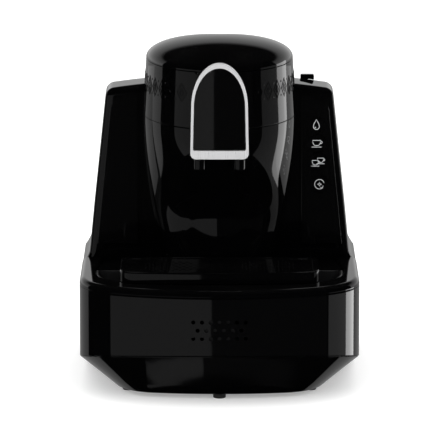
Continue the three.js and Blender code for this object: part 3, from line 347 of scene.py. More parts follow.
# Plastics: gloss black walls and panels, satin black inside, pale print, black and grey rubber, the circuit boards
usualPlastic = {"grain": 900.0, "smearScale": 40.0, "dust": 0.2, "dustTone": (0.16, 0.155, 0.15), "scratch": 0.2,
                "scratchTone": (0.02, 0.02, 0.021), "bump": 0.35, "bumpDepth": 0.0001, "scratchRough": 0.25,
                "dustRough": 0.4}
plastics = {
    "glossShell": {"dark": (0.0004, 0.0004, 0.0005), "light": (0.0009, 0.0009, 0.0010), "shine": 0.46, "wave": 48.0,
                   "grainShare": 0.05, "smearScale": 22.0, "dust": 0.025, "scratch": 0.10, "roughness": (0.045, 0.075),
                   "bump": 0.22},
    "glossPanel": {"dark": (0.0006, 0.0006, 0.0007), "light": (0.0012, 0.0012, 0.0013), "shine": 0.50, "wave": 30.0,
                   "grainShare": 0.03, "smearScale": 24.0, "dust": 0.02, "scratch": 0.08, "roughness": (0.05, 0.09),
                   "bump": 0.16},
    "satinBlack": {"dark": (0.006, 0.006, 0.0065), "light": (0.012, 0.012, 0.0125), "shine": 0.42, "wave": 90.0,
                   "grain": 2200.0, "grainShare": 0.9, "smearScale": 30.0, "dustTone": (0.18, 0.175, 0.17),
                   "scratchTone": (0.03, 0.03, 0.03), "roughness": (0.30, 0.42)},
    "palePrint": {"dark": (0.50, 0.51, 0.52), "light": (0.66, 0.67, 0.68), "shine": 0.35, "wave": 300.0,
                  "grain": 2600.0, "grainShare": 0.6, "smearScale": 60.0, "dust": 0.1, "dustTone": (0.4, 0.39, 0.37),
                  "scratch": 0.3, "scratchTone": (0.25, 0.25, 0.26), "roughness": (0.38, 0.50), "bump": 0.2,
                  "bumpDepth": 0.00005},
    "blackRubber": {"dark": (0.010, 0.010, 0.010), "light": (0.022, 0.021, 0.021), "shine": 0.28, "wave": 140.0,
                    "grain": 1800.0, "grainShare": 1.2, "dust": 0.35, "dustTone": (0.20, 0.19, 0.18), "scratch": 0.3,
                    "scratchTone": (0.05, 0.05, 0.05), "roughness": (0.62, 0.80), "bump": 0.5},
    "greyRubber": {"dark": (0.30, 0.30, 0.29), "light": (0.42, 0.42, 0.40), "shine": 0.32, "wave": 120.0,
                   "grain": 1500.0, "grainShare": 0.8, "dustTone": (0.25, 0.24, 0.22), "scratchTone": (0.2, 0.2, 0.2),
                   "roughness": (0.45, 0.62)},
    "circuitBoard": {"dark": (0.012, 0.085, 0.035), "light": (0.020, 0.130, 0.055), "shine": 0.5, "wave": 260.0,
                     "grain": 1600.0, "grainShare": 0.8, "smearScale": 60.0, "dustTone": (0.2, 0.2, 0.18),
                     "scratch": 1.0, "scratchTone": (0.42, 0.30, 0.10), "roughness": (0.28, 0.40), "bump": 0.4,
                     "bumpDepth": 0.00012},
}


def buildPlastic(name, values):
    material, tree, shader, at = startFinish(name, Specular_IOR_Level=values["shine"], Metallic=0.0)
    skin, marks = placeSkin(tree, at, values), placeMarks(tree, at, values)
    body = blendColours(tree, skin["Tone"], values["dark"], values["light"])
    worn = blendColours(tree, times(tree, marks["Scratch"], values["scratch"]), body, values["scratchTone"])
    link(tree, blendColours(tree, marks["Dust"], worn, values["dustTone"]), shader["Base Color"])
    smeared = mapped(tree, marks["Smear"], 0.0, 1.0, *values["roughness"], smooth=False)
    scratched = times(tree, marks["Scratch"], values["scratch"] * values["scratchRough"])
    dusty = times(tree, marks["Dust"], values["dustRough"])
    link(tree, plus(tree, smeared, plus(tree, scratched, dusty)), shader["Roughness"])
    bumpInto(tree, shader, skin["Height"], values["bump"], values["bumpDepth"])
    return material


# Metals: satin chrome of the frame, drawn steel of the pot and the plate, brass of the sensor
usualMetal = {"along": (1.0, 1.0, 50.0), "dust": 0.05, "dustTone": (0.3, 0.29, 0.27), "smearScale": 34.0, "smear": 0.35,
              "smearRough": 0.08, "bump": 0.2, "bumpDepth": 0.00005, "metal": 0.9}
metals = {
    "satinChrome": {"dark": (0.70, 0.70, 0.71), "light": (0.84, 0.84, 0.85), "smearTone": (0.62, 0.62, 0.63),
                    "along": (60.0, 60.0, 1.0), "scale": 30.0, "dust": 0.03, "roughness": (0.26, 0.34), "bump": 0.10,
                    "metal": 0.42},
    "potSteel": {"dark": (0.46, 0.46, 0.46), "light": (0.60, 0.60, 0.59), "smearTone": (0.40, 0.39, 0.38),
                 "scale": 60.0, "roughness": (0.22, 0.34)},
    "sensorBrass": {"dark": (0.52, 0.36, 0.14), "light": (0.68, 0.50, 0.22), "smearTone": (0.36, 0.25, 0.10),
                    "scale": 80.0, "roughness": (0.26, 0.38)},
}


def buildMetal(name, values):
    material, tree, shader, at = startFinish(name, Metallic=values["metal"])
    lines = placeGroup(tree, brushedLines, at, Along=values["along"], Scale=values["scale"])["Lines"]
    marks = placeMarks(tree, at, values)
    tone = blendColours(tree, lines, values["dark"], values["light"])
    worn = blendColours(tree, times(tree, marks["Smear"], values["smear"]), tone, values["smearTone"])
    link(tree, blendColours(tree, marks["Dust"], worn, values["dustTone"]), shader["Base Color"])
    grain = mapped(tree, lines, 0.3, 0.7, *values["roughness"], smooth=False)
    link(tree, plus(tree, grain, times(tree, marks["Smear"], values["smearRough"])), shader["Roughness"])
    bumpInto(tree, shader, lines, values["bump"], values["bumpDepth"])
    return material


# Smoked clear tank with dried water marks
smoked = {"clear": 0.85, "refraction": 1.49, "shine": 0.5, "tint": (0.20, 0.21, 0.23), "limeTone": (0.34, 0.35, 0.36),
          "lime": 0.3, "wave": 70.0, "grain": 1200.0, "grainShare": 0.1, "smearScale": 24.0, "dust": 0.1,
          "roughness": (0.06, 0.20), "bump": 0.2, "bumpDepth": 0.0001}


def buildSmoked(name, values):
    material, tree, shader, at = startFinish(name, Metallic=0.0, Transmission_Weight=values["clear"],
                                             IOR=values["refraction"], Specular_IOR_Level=values["shine"])
    skin, marks = placeSkin(tree, at, values), placeMarks(tree, at, values)
    lime = mapped(tree, marks["Smear"], 0.3, 1.0, 0.0, values["lime"])
    link(tree, blendColours(tree, lime, values["tint"], values["limeTone"]), shader["Base Color"])
    link(tree, mapped(tree, marks["Smear"], 0.0, 1.0, *values["roughness"], smooth=False), shader["Roughness"])
    bumpInto(tree, shader, skin["Height"], values["bump"], values["bumpDepth"])
    return material


finishes = {name: buildPlastic(name, {**usualPlastic, **values}) for name, values in plastics.items()}
finishes.update({name: buildMetal(name, {**usualMetal, **values}) for name, values in metals.items()})
finishes["smokedTank"] = buildSmoked("smokedTank", smoked)
slotFinishes = {
    "gloss_black_shell": "glossShell", "gloss_black_panel": "glossPanel", "satin_black": "satinBlack",
    "satin_chrome": "satinChrome", "steel": "potSteel", "pale_mark": "palePrint", "smoked_clear": "smokedTank",
    "black_rubber": "blackRubber", "grey_rubber": "greyRubber", "board": "circuitBoard", "brass": "sensorBrass",
}
for solid in nodes.values():
    for holder in solid.material_slots:
        holder.material = finishes[slotFinishes[holder.material.name]]
print("finishes built:", len(finishes))


# Floor: pale paper, out of the gloss so that the black walls mirror the room instead
floorValues = {"size": 12.0, "pale": (0.90, 0.90, 0.90), "paler": (0.94, 0.94, 0.935), "glow": 0.30,
               "roughness": (0.85, 0.95), "bump": 0.05, "bumpDepth": 0.0002}


def buildFloor(values):
    bm = bmesh.new()
    bmesh.ops.create_grid(bm, x_segments=1, y_segments=1, size=values["size"] / 2)
    floor = asObject(bm, "floor")
    material, tree, shader, at = startFinish("floorPaper", Specular_IOR_Level=0.0, Emission_Color=(1.0, 1.0, 1.0, 1.0),
                                             Emission_Strength=values["glow"])
    paper = blendColours(tree, noise(tree, at, 3.0, 4.0, 0.6), values["pale"], values["paler"])
    link(tree, paper, shader["Base Color"])
    link(tree, mapped(tree, noise(tree, at, 200.0), 0.3, 0.7, *values["roughness"]), shader["Roughness"])
    bumpInto(tree, shader, noise(tree, at, 800.0), values["bump"], values["bumpDepth"])
    floor.data.materials.append(material)
    floor.visible_glossy = False


buildFloor(floorValues)


# Shape helpers, in millimetres; a finished piece is brought to metres
wall = 2.5
gap = 0.3
quarter = math.pi / 2


def spread(low, high, count):
    return [low + (high - low) * i / count for i in range(count + 1)]


def ringFrom(bm, points):
    verts = [bm.verts.new(point) for point in points]
    return [bm.edges.new((verts[i - 1], verts[i])) for i in range(len(verts))]


def joinRings(bm, rings, closed=False):
    # Walks up the rings and bridges each to the next; closed brings the last back to the first
    for low, high in list(zip(rings, rings[1:])) + ([(rings[-1], rings[0])] if closed else []):
        bmesh.ops.bridge_loops(bm, edges=low + high)
    bmesh.ops.recalc_face_normals(bm, faces=bm.faces)


def loftSolid(levels):
    # A closed solid from rings of points, the first and last filled
    bm = bmesh.new()
    rings = [ringFrom(bm, points) for points in levels]
    joinRings(bm, rings)
    for ring in (rings[0], rings[-1]):
        bmesh.ops.edgeloop_fill(bm, edges=ring)
    bmesh.ops.recalc_face_normals(bm, faces=bm.faces)
    return bm


def loftShell(levels):
    # A wall: the rings run up the outside and down the inside, and close on themselves
    bm = bmesh.new()
    joinRings(bm, [ringFrom(bm, points) for points in levels], closed=True)
    return bm


def resample(points, count):
    # The same line with evenly spread points, both ends kept
    lengths = [0.0]
    for a, b in zip(points, points[1:]):
        lengths.append(lengths[-1] + math.dist(a, b))
    result, k = [], 0
    for want in spread(0.0, lengths[-1], count):
        while k < len(points) - 2 and lengths[k + 1] < want:
            k += 1
        span = lengths[k + 1] - lengths[k]
        share = (want - lengths[k]) / span if span > 0 else 0.0
        result.append(tuple(a + (b - a) * share for a, b in zip(points[k], points[k + 1])))
    return result


def arcLine(cx, cy, radius, start, end, count):
    return [(cx + radius * math.cos(a), cy + radius * math.sin(a)) for a in spread(start, end, count)]


def walk(line, *steps):
    # Carries a line on by straight runs (x, y, count) and by arcs
    for step in steps:
        line = line + (resample([line[-1], step[:2]], step[2]) if len(step) == 3 else arcLine(*step))[1:]
    return line


def bothSides(half):
    # Half an outline from the front middle round to the rear middle, mirrored to a whole one
    return half + [(-x, y) for x, y in reversed(half[1:-1])]


def lifted(outline, height):
    return [(x, y, height(x, y) if callable(height) else height) for x, y in outline]


def ringsOf(plan, pairs):
    # Rings of a plan at pairs of inset and height
    return [lifted(plan(inset), height) for inset, height in pairs]


def roll(width, top, count, drop=None, start=0.0):
    # Insets and heights of a rounded edge, from its side up to the top
    drop = width if drop is None else drop
    return [(start + width * (1 - math.cos(a)), top - drop * (1 - math.sin(a))) for a in spread(0.0, quarter, count)]


def combine(body, tool, operation="UNION"):
    # Exact Boolean of two bmeshes, in millimetres; the result is a new bmesh
    base, other = asObject(body), asObject(tool)
    modifier = base.modifiers.new("combine", "BOOLEAN")
    modifier.operation = operation
    modifier.solver = "EXACT"
    modifier.object = other
    bpy.context.view_layer.update()
    result = bmesh.new()
    result.from_object(base, bpy.context.evaluated_depsgraph_get())
    for used in (base, other):
        mesh = used.data
        bpy.data.objects.remove(used)
        bpy.data.meshes.remove(mesh)
    bmesh.ops.remove_doubles(result, verts=result.verts, dist=0.0005)
    bmesh.ops.dissolve_degenerate(result, edges=result.edges, dist=0.0005)
    return result


def carve(body, *tools):
    for tool in tools:
        body = combine(body, tool, "DIFFERENCE")
    return body


# A block that cuts only has to reach past the piece on its open sides, so its outer numbers are large
def blockSolid(x0, x1, y0, y1, z0, z1):
    bm = bmesh.new()
    bmesh.ops.create_cube(bm, size=1.0)
    bmesh.ops.scale(bm, vec=(x1 - x0, y1 - y0, z1 - z0), verts=bm.verts)
    bmesh.ops.translate(bm, vec=((x0 + x1) / 2, (y0 + y1) / 2, (z0 + z1) / 2), verts=bm.verts)
    return bm


def turned(profile, place, turns=64, axis="Z"):
    # A closed profile of (radius, height) spun about an axis through place; along Y the heights run to the rear
    bm = bmesh.new()
    line = [bm.verts.new((radius, 0.0, height)) for radius, height in profile]
    edges = [bm.edges.new(pair) for pair in zip(line, line[1:])]
    bmesh.ops.spin(bm, geom=line + edges, cent=(0, 0, 0), axis=(0, 0, 1), angle=2 * math.pi, steps=turns,
                   use_merge=True)
    bmesh.ops.remove_doubles(bm, verts=bm.verts, dist=0.001)
    bmesh.ops.recalc_face_normals(bm, faces=bm.faces)
    if axis != "Z":
        turn = Matrix.Rotation(-quarter, 3, "X") if axis == "Y" else Matrix.Rotation(quarter, 3, "Y")
        bmesh.ops.rotate(bm, cent=(0, 0, 0), matrix=turn, verts=bm.verts)
    bmesh.ops.translate(bm, vec=place, verts=bm.verts)
    return bm


def rod(radius, low, high, place, turns, axis="Z"):
    return turned([(0.0, low), (radius, low), (radius, high), (0.0, high)], place, turns, axis)


def addTo(target, extra):
    mesh = bpy.data.meshes.new("part")
    extra.to_mesh(mesh)
    extra.free()
    target.from_mesh(mesh)
    bpy.data.meshes.remove(mesh)


def bevelEdges(bm, edges, width, steps):
    bmesh.ops.bevel(bm, geom=edges, offset=width, offset_type="OFFSET", segments=steps, profile=0.5, affect="EDGES",
                    clamp_overlap=True, material=-1)


def roundEdges(bm, width, steps, angle=50.0, where=lambda place: True):
    sharp = [e for e in bm.edges if len(e.link_faces) == 2 and e.calc_face_angle(0.0) > math.radians(angle)]
    bevelEdges(bm, [e for e in sharp if all(where(v.co) for v in e.verts)], width, steps)


def thicken(bm, depth):
    # Draws the faces out along y
    made = bmesh.ops.extrude_face_region(bm, geom=bm.faces[:])
    fresh = [v for v in made["geom"] if isinstance(v, bmesh.types.BMVert)]
    bmesh.ops.translate(bm, vec=(0, depth, 0), verts=fresh)
    bmesh.ops.recalc_face_normals(bm, faces=bm.faces)


def standingSolid(outline, y0, y1, edge=0.0, steps=4):
    # An outline in x and z, from one y to another, its front edge rounded
    bm = bmesh.new()
    bmesh.ops.edgeloop_fill(bm, edges=ringFrom(bm, [(x, y1, z) for x, z in outline]))
    thicken(bm, y0 - y1)
    if edge:
        bevelEdges(bm, [e for e in bm.edges if all(abs(v.co.y - y0) < 0.001 for v in e.verts)], edge, steps)
    return bm


def finishPiece(bm, name, stands=(), body="housing", finish="glossShell", sharp=32.0):
    bmesh.ops.scale(bm, vec=(0.001, 0.001, 0.001), verts=bm.verts)
    for face in bm.faces:
        face.smooth = True
    limit = math.radians(sharp)
    for edge in bm.edges:
        edge.smooth = len(edge.link_faces) == 2 and edge.calc_face_angle(0.0) <= limit
    piece = asObject(bm, name)
    weighted = piece.modifiers.new("evenShade", "WEIGHTED_NORMAL")  # broad flat faces keep their own direction
    weighted.mode = "FACE_AREA"
    weighted.weight = 90
    weighted.keep_sharp = True
    piece.data.materials.append(finishes[finish])
    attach(piece, body)
    if stands:
        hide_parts(*stands)
    print("piece:", name, len(piece.data.polygons), "faces")


# Base: upright band with the sounder's holes, belly under it, rim and basin on it
bandValues = {"half": 120.0, "front": -135.0, "back": 135.0, "bulge": 239.0, "corner": 55.0, "rear": 22.0,
              "top": 93.3, "lip": 0.6, "holeRadius": 1.75, "holeFlare": 0.25, "holeStart": 2.4,
              "holeDeep": 8.0, "holePitchX": 7.4, "holePitchZ": 7.1, "holeZ": 66.0,
              "holeCounts": (7, 6, 7), "glandRadius": 8.3, "glandDeep": 8.0, "glandAt": (60.0, 30.0)}
bellyValues = {"half": 88.0, "front": -105.0, "back": 127.0, "bulge": 300.0, "corner": 38.0, "rear": 22.0,
               "bottom": 4.0, "round": 1.6, "heights": (0.03, 0.25, 0.5, 0.75, 0.985),
               "topInset": 0.45}
creaseValues = {"low": 10.0, "front": 43.5, "fall": 0.2}


def basePlan(values, inset=0.0):
    half, front, back = values["half"] - inset, values["front"] + inset, values["back"] - inset
    bulge, corner, rear = values["bulge"] - inset, values["corner"] - inset, values["rear"] - inset
    centreY = front + bulge
    cornerX = half - corner
    cornerY = centreY - math.sqrt((bulge - corner) ** 2 - cornerX ** 2)
    meet = math.atan2(cornerY - centreY, cornerX)
    line = walk([(0.0, front)], (0.0, centreY, bulge, -quarter, meet, 34), (cornerX, cornerY, corner, meet, 0.0, 30),
                (half, back - rear, 24), (half - rear, back - rear, rear, 0.0, quarter, 18), (0.0, back, 14))
    return bothSides(line)


def creaseAt(x, y):
    # Height of the crease between band and belly, which falls to the rear
    return max(creaseValues["low"], creaseValues["front"] - creaseValues["fall"] * (y - bandValues["front"]))


def buildBand(values):
    lip, top, radius = values["lip"], values["top"], values["holeRadius"]

    def rise(share, extra):
        def height(x, y):
            low = creaseAt(x, y) + gap + extra
            return low + (top - lip - low) * share
        return height

    pairs = [(lip * 0.3, rise(0.0, 0.0)), (0.0, rise(0.0, lip * 0.7))]
    pairs += [(0.0, rise(share, lip)) for share in (0.0, 0.33, 0.66, 1.0)]
    pairs += [(lip * 0.3, top - lip * 0.3), (lip, top), (wall, top), (wall, rise(0.0, 0.0))]
    bm = loftShell(ringsOf(lambda inset: basePlan(values, inset), pairs))
    start, deep = values["holeStart"], values["holeDeep"]
    profile = [(0.0, 0.0), (radius + values["holeFlare"], 0.0), (radius, start + 0.2), (radius, deep), (0.0, deep)]
    holes = bmesh.new()
    for row, count in enumerate(values["holeCounts"]):
        for i in range(count):
            x = (i - (count - 1) / 2) * values["holePitchX"]
            z = values["holeZ"] + (1 - row) * values["holePitchZ"]
            addTo(holes, turned(profile, (x, values["front"] - start, z), 18, "Y"))
    x, z = values["glandAt"]
    bm = carve(bm, holes, rod(values["glandRadius"], 0.0, 12.0, (x, values["back"] - values["glandDeep"], z), 40, "Y"))
    finishPiece(bm, "baseBand", ["base_shell"])


def buildBelly(values, band):
    bottom, rounding = values["bottom"], values["round"]

    def between(share, inset=0.0):
        low = bottom + inset
        return [(a[0] + (b[0] - a[0]) * share, a[1] + (b[1] - a[1]) * share, low + (creaseAt(*b) - low) * share)
                for a, b in zip(basePlan(values, inset), basePlan(band, inset))]

    levels = ringsOf(lambda inset: basePlan(values, inset), [(rounding, bottom), (rounding * 0.35, bottom + 0.25)])
    levels += [between(share) for share in values["heights"]]
    levels += ringsOf(lambda inset: basePlan(band, inset), [(values["topInset"], creaseAt), (wall, creaseAt)])
    finishPiece(loftSolid(levels + [between(share, wall) for share in (0.5, 0.0)]), "bellyPan", ["bottom_pan"])


buildBand(bandValues)
buildBelly(bellyValues, bandValues)


# Rim with the basin, drip tray in it, and the perforated stand over the tray
rimValues = {"seam": 93.6, "top": 100.0, "round": 5.0, "upright": 1.2, "rear": 15.7, "floor": 64.0, "deck": 97.0,
             "deckBack": 30.0, "pocketBack": -33.0, "mouthRound": 2.5}
basinValues = {"half": 107.0, "front": -106.0, "straight": -33.0, "power": 3.0, "narrow": 7.0, "middle": 80.0}
trayValues = {"clear": 0.6, "bottom": 64.3, "top": 98.0, "foot": 1.2, "cove": 1.5, "ribX": 42.5, "ribHalf": 1.5,
              "ribFront": -71.5, "ribBack": -37.8, "ribLow": 66.5, "ribTop": 107.2, "lip": 0.8}
standValues = {"half": 85.0, "front": -107.0, "back": -35.0, "corner": 14.0, "bow": 4.0, "bottom": 100.3,
               "top": 110.0, "edge": 1.5, "holeRadius": 1.6, "flare": 0.7, "holeDeep": 6.0,
               "groove": [(3.5, 0.0), (4.1, 0.5), (5.0, 0.5)], "pitch": 6.2, "columns": 8, "rows": 7,
               "zoneX": 43.0, "zoneY": -74.0}


def basinPlan(values, offset, back):
    half, straight, share = values["half"] + offset, values["straight"], 2 / values["power"]
    depth = straight - (values["front"] - offset)
    dense = [(half * abs(math.cos(a)) ** share, straight - depth * abs(math.sin(a)) ** share)
             for a in spread(-quarter, 0.0, 400)]
    return bothSides(walk(resample(dense, 64), (half - values["narrow"], back, 8), (0.0, back, 16)))


def buildRim(values, basin, band):
    seam, top, rounding, mouth = values["seam"], values["top"], values["round"], values["mouthRound"]
    rear, floor, deck, pocketBack = values["rear"], values["floor"], values["deck"], values["pocketBack"] + wall
    pairs = [(0.25, seam), (0.02, seam + 0.35)] + roll(rounding, top, 8, top - seam - values["upright"])
    rim = loftSolid(ringsOf(lambda inset: basePlan(band, inset), pairs))
    rim = carve(rim, blockSolid(-140, 140, rear, 160, 80, 120))
    tub = [lifted(basinPlan(basin, wall, rear), z) for z in (floor - wall, basin["middle"], seam + wall)]

    def mouthSolid(bottom, back):
        pairs = [(0.0, bottom), (0.0, top - mouth)] + roll(mouth, top, 6)[1:] + [(mouth + 0.05, top + 3.0)]
        return loftSolid(ringsOf(lambda offset: basinPlan(basin, offset, back), pairs))

    pocket = combine(mouthSolid(floor, pocketBack), blockSolid(-150, 150, -160, pocketBack, 0, 120), "INTERSECT")
    under = blockSolid(-basin["half"], basin["half"], pocketBack + wall, rear - wall, 0, deck - wall)
    bm = carve(combine(rim, loftSolid(tub)), pocket, mouthSolid(deck, values["deckBack"]), under)
    finishPiece(bm, "basinRim", ["tray_frame"])


def buildTray(values, basin, pocketBack):
    back = pocketBack - gap
    foot, cove, lip, top, bottom = values["foot"], values["cove"], values["lip"], values["top"], values["bottom"]
    pairs = [(foot, bottom), (0.0, bottom + foot), (0.0, basin["middle"]), (0.0, top - lip)]
    pairs += [(wall / 2 * (1 - math.cos(a)), top - lip + lip * math.sin(a)) for a in spread(0.0, math.pi, 8)[1:]]
    pairs += [(wall, basin["middle"]), (wall, bottom + wall + cove), (wall + cove, bottom + wall)]
    bm = loftSolid(ringsOf(lambda inset: basinPlan(basin, -values["clear"] - inset, back - inset), pairs))
    for side in (-1, 1):
        x = side * values["ribX"]
        rib = blockSolid(x - values["ribHalf"], x + values["ribHalf"], values["ribFront"], values["ribBack"],
                         values["ribLow"], values["ribTop"])
        roundEdges(rib, 0.5, 2)
        bm = combine(bm, rib)
    finishPiece(bm, "dripTray", ["drip_tray"], "tray", "satinBlack")


def standPlan(values, inset):
    corner, bow = values["corner"] - inset, values["bow"]
    half, front, back = values["half"] - inset, values["front"] + inset, values["back"] - inset
    dense = [((half - corner) * share, front + bow * share ** 2) for share in spread(0.0, 1.0, 30)]
    small = corner / 2
    line = walk(resample(dense, 40), (half - corner, front + corner + bow, corner, -quarter, 0.0, 16),
                (half, back - small, 10), (half - small, back - small, small, 0.0, quarter, 10), (0.0, back, 20))
    return bothSides(line)


def buildStand(values):
    top, bottom, edge, radius = values["top"], values["bottom"], values["edge"], values["holeRadius"]
    plan = lambda inset: standPlan(values, inset)
    pairs = [(0.3, bottom), (0.0, bottom + 0.4), (0.0, top - edge)] + roll(edge, top, 6)[1:]
    pairs += [(edge + reach, top - deep) for reach, deep in values["groove"]]  # round the top
    inside = [(wall, bottom - 2.0), (wall, top - wall - 1.0), (wall + 1.0, top - wall)]
    holes = bmesh.new()
    flare, low = radius + values["flare"], top - values["holeDeep"]
    profile = [(0.0, low), (radius, low), (radius, top - 0.9), (flare, top - 0.2), (flare, top + 2.0),
               (0.0, top + 2.0)]
    last = values["rows"] - 1
    for side in (-1, 1):
        for row in range(values["rows"]):
            count = values["columns"] - row % 2 - (2 if row in (0, last) else 0)
            for i in range(count):
                x = side * values["zoneX"] + (i - (count - 1) / 2) * values["pitch"]
                addTo(holes, turned(profile, (x, values["zoneY"] + (row - last / 2) * values["pitch"], 0.0), 16))
    bm = carve(loftSolid(ringsOf(plan, pairs)), loftSolid(ringsOf(plan, inside)), holes)
    finishPiece(bm, "cupStand", ["cup_platform"], "platform")


buildRim(rimValues, basinValues, bandValues)
buildTray(trayValues, basinValues, rimValues["pocketBack"])
buildStand(standValues)


# Shoulders at the rear, leaning in, crowned and falling to the rear, with the niche for the tank
shoulderValues = {"half": 98.8, "lean": 0.098, "top": 256.0, "flare": 6.0, "flareTop": 106.0, "flareTall": 15.0,
                  "flarePower": 1.5, "front": 16.0, "straight": 56.0, "corner": 6.0, "rear": 22.0, "back": 135.0,
                  "round": 7.0, "bottom": 93.6, "heights": [128.0, 150.0, 175.0, 200.0, 225.0], "crown": 625.0,
                  "fall": 0.24, "crownFrom": 150.0, "crownY": 75.0,
                  "closing": (0.92, 0.8, 0.65, 0.5, 0.35, 0.2, 0.08, 0.01), "nicheHalf": 78.6, "nicheFront": 57.4,
                  "nicheFloor": 126.0, "nicheRound": 6.0, "mouthHalf": 50.0, "mouthLow": 112.0, "mouthBack": 36.0,
                  "valveRadius": 8.0, "valveY": 96.0, "midSeam": 228.0, "lidSeam": 277.0}


def shoulderHalf(values, z):
    flare = max(0.0, (values["flareTop"] - z) / values["flareTall"]) ** values["flarePower"]
    return values["half"] + values["lean"] * (values["top"] - z) + values["flare"] * flare


def shoulderPlan(values, z, inset):
    half = shoulderHalf(values, z) - inset
    front, back = values["front"] + inset, values["back"] - inset
    corner, rear = max(0.8, values["corner"] - inset), max(2.0, values["rear"] - inset)
    line = walk([(0.0, front)], (half - corner, front, 40), (half - corner, front + corner, corner, -quarter, 0.0, 12),
                (half, back - rear, 30), (half - rear, back - rear, rear, 0.0, quarter, 18), (0.0, back, 28))
    return bothSides(line)


def crownAt(values, z):
    share = max(0.0, (z - values["crownFrom"]) / (values["top"] - values["crownFrom"]))

    def height(x, y):
        return z - (x * x / (2 * values["crown"]) + max(0.0, y - values["straight"]) * values["fall"]) * share
    return height


def shoulderSolid(values, inset, bottom, top):
    rounding, middle = max(1.0, values["round"] - inset), values["crownY"]
    levels = [lifted(shoulderPlan(values, z, inset), crownAt(values, z))
              for z in spread(bottom, values["flareTop"], 8) + values["heights"] + [top - rounding]]
    plan = lambda inset: shoulderPlan(values, top - rounding, inset)
    levels += ringsOf(plan, [(reach, crownAt(values, z)) for reach, z in roll(rounding, top, 8, start=inset)[1:]])
    for share in values["closing"]:
        ring = [(x * share, middle + (y - middle) * share) for x, y in plan(inset + rounding)]
        levels.append(lifted(ring, crownAt(values, top)))
    return loftSolid(levels)


def buildShoulders(values):
    bottom, top, niche, half = values["bottom"], values["top"], values["nicheHalf"], values["mouthHalf"]
    front, floor, face, seam = values["nicheFront"], values["nicheFloor"], values["front"], values["lidSeam"]
    inner = carve(shoulderSolid(values, wall, bottom - 2.0, top - wall),
                  blockSolid(-niche - wall, niche + wall, front - wall, 160, floor - wall, 300))
    room = blockSolid(-niche, niche, front, 160, floor, 300)
    ahead = [e for e in room.edges if all(abs(v.co.y - front) < 1 for v in e.verts)]
    upright = [e for e in ahead if abs(e.verts[0].co.x - e.verts[1].co.x) < 1]
    bevelEdges(room, upright, values["nicheRound"], 5)
    bm = carve(shoulderSolid(values, 0.0, bottom, top), inner, room,
               blockSolid(-half, half, face - 10, face + 10, values["mouthLow"], seam),
               blockSolid(-half, half, face - 10, values["mouthBack"], values["midSeam"], seam),
               rod(values["valveRadius"], 80.0, 140.0, (0.0, values["valveY"], 0.0), 32))
    finishPiece(bm, "shoulders", ["back_body"])


# Glossy panels on the shoulders' fronts; the right one has round openings for the buttons and the indicator
panelValues = {"front": 13.7, "back": 15.7, "inset": 6.0, "corner": 12.0, "inner": 71.0, "bottom": 112.0, "edge": 0.7,
               "buttonRadius": 7.5, "lensRadius": 6.5, "clear": 0.3, "chamfer": 0.5}
buttonValues = {"one_cup": 201.0, "two_cups": 185.0, "clean": 165.0, "lens": 217.5, "x": 85.2, "drift": 0.055,
                "stem": 3.0, "capBack": 14.9, "stemBack": 23.9, "guideBack": 29.7, "edge": 0.45, "printProud": 0.12,
                "printSink": 0.03, "dish": (0.02, 0.03, 0.05)}


def buttonX(z):
    return buttonValues["x"] + (buttonValues["one_cup"] - z) * buttonValues["drift"]


def panelLine(values, body):
    inset, corner, inner, bottom = values["inset"], values["corner"], values["inner"], values["bottom"]
    top = lambda x: body["top"] - x * x / (2 * body["crown"]) - inset - body["round"] / 3
    edge = lambda z: shoulderHalf(body, z) - inset
    high = top(edge(top(body["half"]))) - corner
    line = resample([(inner, bottom), (edge(bottom), bottom)], 12)
    line += [(edge(z), z) for z in spread(bottom, high, 24)[1:]]
    line += arcLine(edge(high) - corner, high, corner, 0.0, quarter, 14)[1:]
    return line + [(x, top(x)) for x in spread(line[-1][0], inner, 12)[1:]]


def buildPanels(values, buttons, body):
    front, chamfer = values["front"], values["chamfer"]
    for side, name, node in ((-1, "leftPanel", "panel_left"), (1, "rightPanel", "panel_right")):
        bm = standingSolid([(side * x, z) for x, z in panelLine(values, body)], front, values["back"], values["edge"])
        for key in ("one_cup", "two_cups", "clean", "lens") if side > 0 else ():
            radius = (values["lensRadius"] if key == "lens" else values["buttonRadius"]) + values["clear"]
            profile = [(0.0, -3.0), (radius + chamfer, -3.0), (radius + chamfer, 0.0), (radius, chamfer),
                       (radius, 5.0), (0.0, 5.0)]
            bm = carve(bm, turned(profile, (buttonX(buttons[key]), front, buttons[key]), 72, "Y"))
        finishPiece(bm, name, [node], finish="glossPanel")


buildShoulders(shoulderValues)
buildPanels(panelValues, buttonValues, shoulderValues)


# Brewing tower: a front half-ellipse that tucks in under the spout, a squarer rear, and the domed lid
towerValues = {"half": 66.0, "halfTop": 63.8, "front": -74.0, "frontTop": -72.0, "frontLow": -24.0, "midSeam": 228.0,
               "lidSeam": 277.0, "seamGap": 0.15, "foot": 97.3, "tuckFoot": 97.0, "tuck": 19.0, "middleY": 16.0,
               "back": 46.0, "power": 3.0, "openBack": 15.7, "frontTuck": 50.0, "tuckFrom": 140.0, "tuckTall": 80.0,
               "edge": 0.5, "edgeTurns": (0.4, 0.8, 1.2, quarter), "lidEdge": 0.45, "lidTurns": (quarter, 1.1, 0.6),
               "dome": 21.7, "domeTip": 0.012, "domeFlat": 0.9998, "outletZ": 208.0, "outletRadius": 4.3,
               "notchHalf": 25.0, "notchTall": 5.0, "notchRound": 2.0, "earX": 17.0, "earThick": 5.0,
               "earRadius": 4.0, "axisY": 51.5, "axisZ": 270.0, "pin": 1.65}


def smoothStep(t):
    t = min(1.0, max(0.0, t))
    return t * t * (3 - 2 * t)


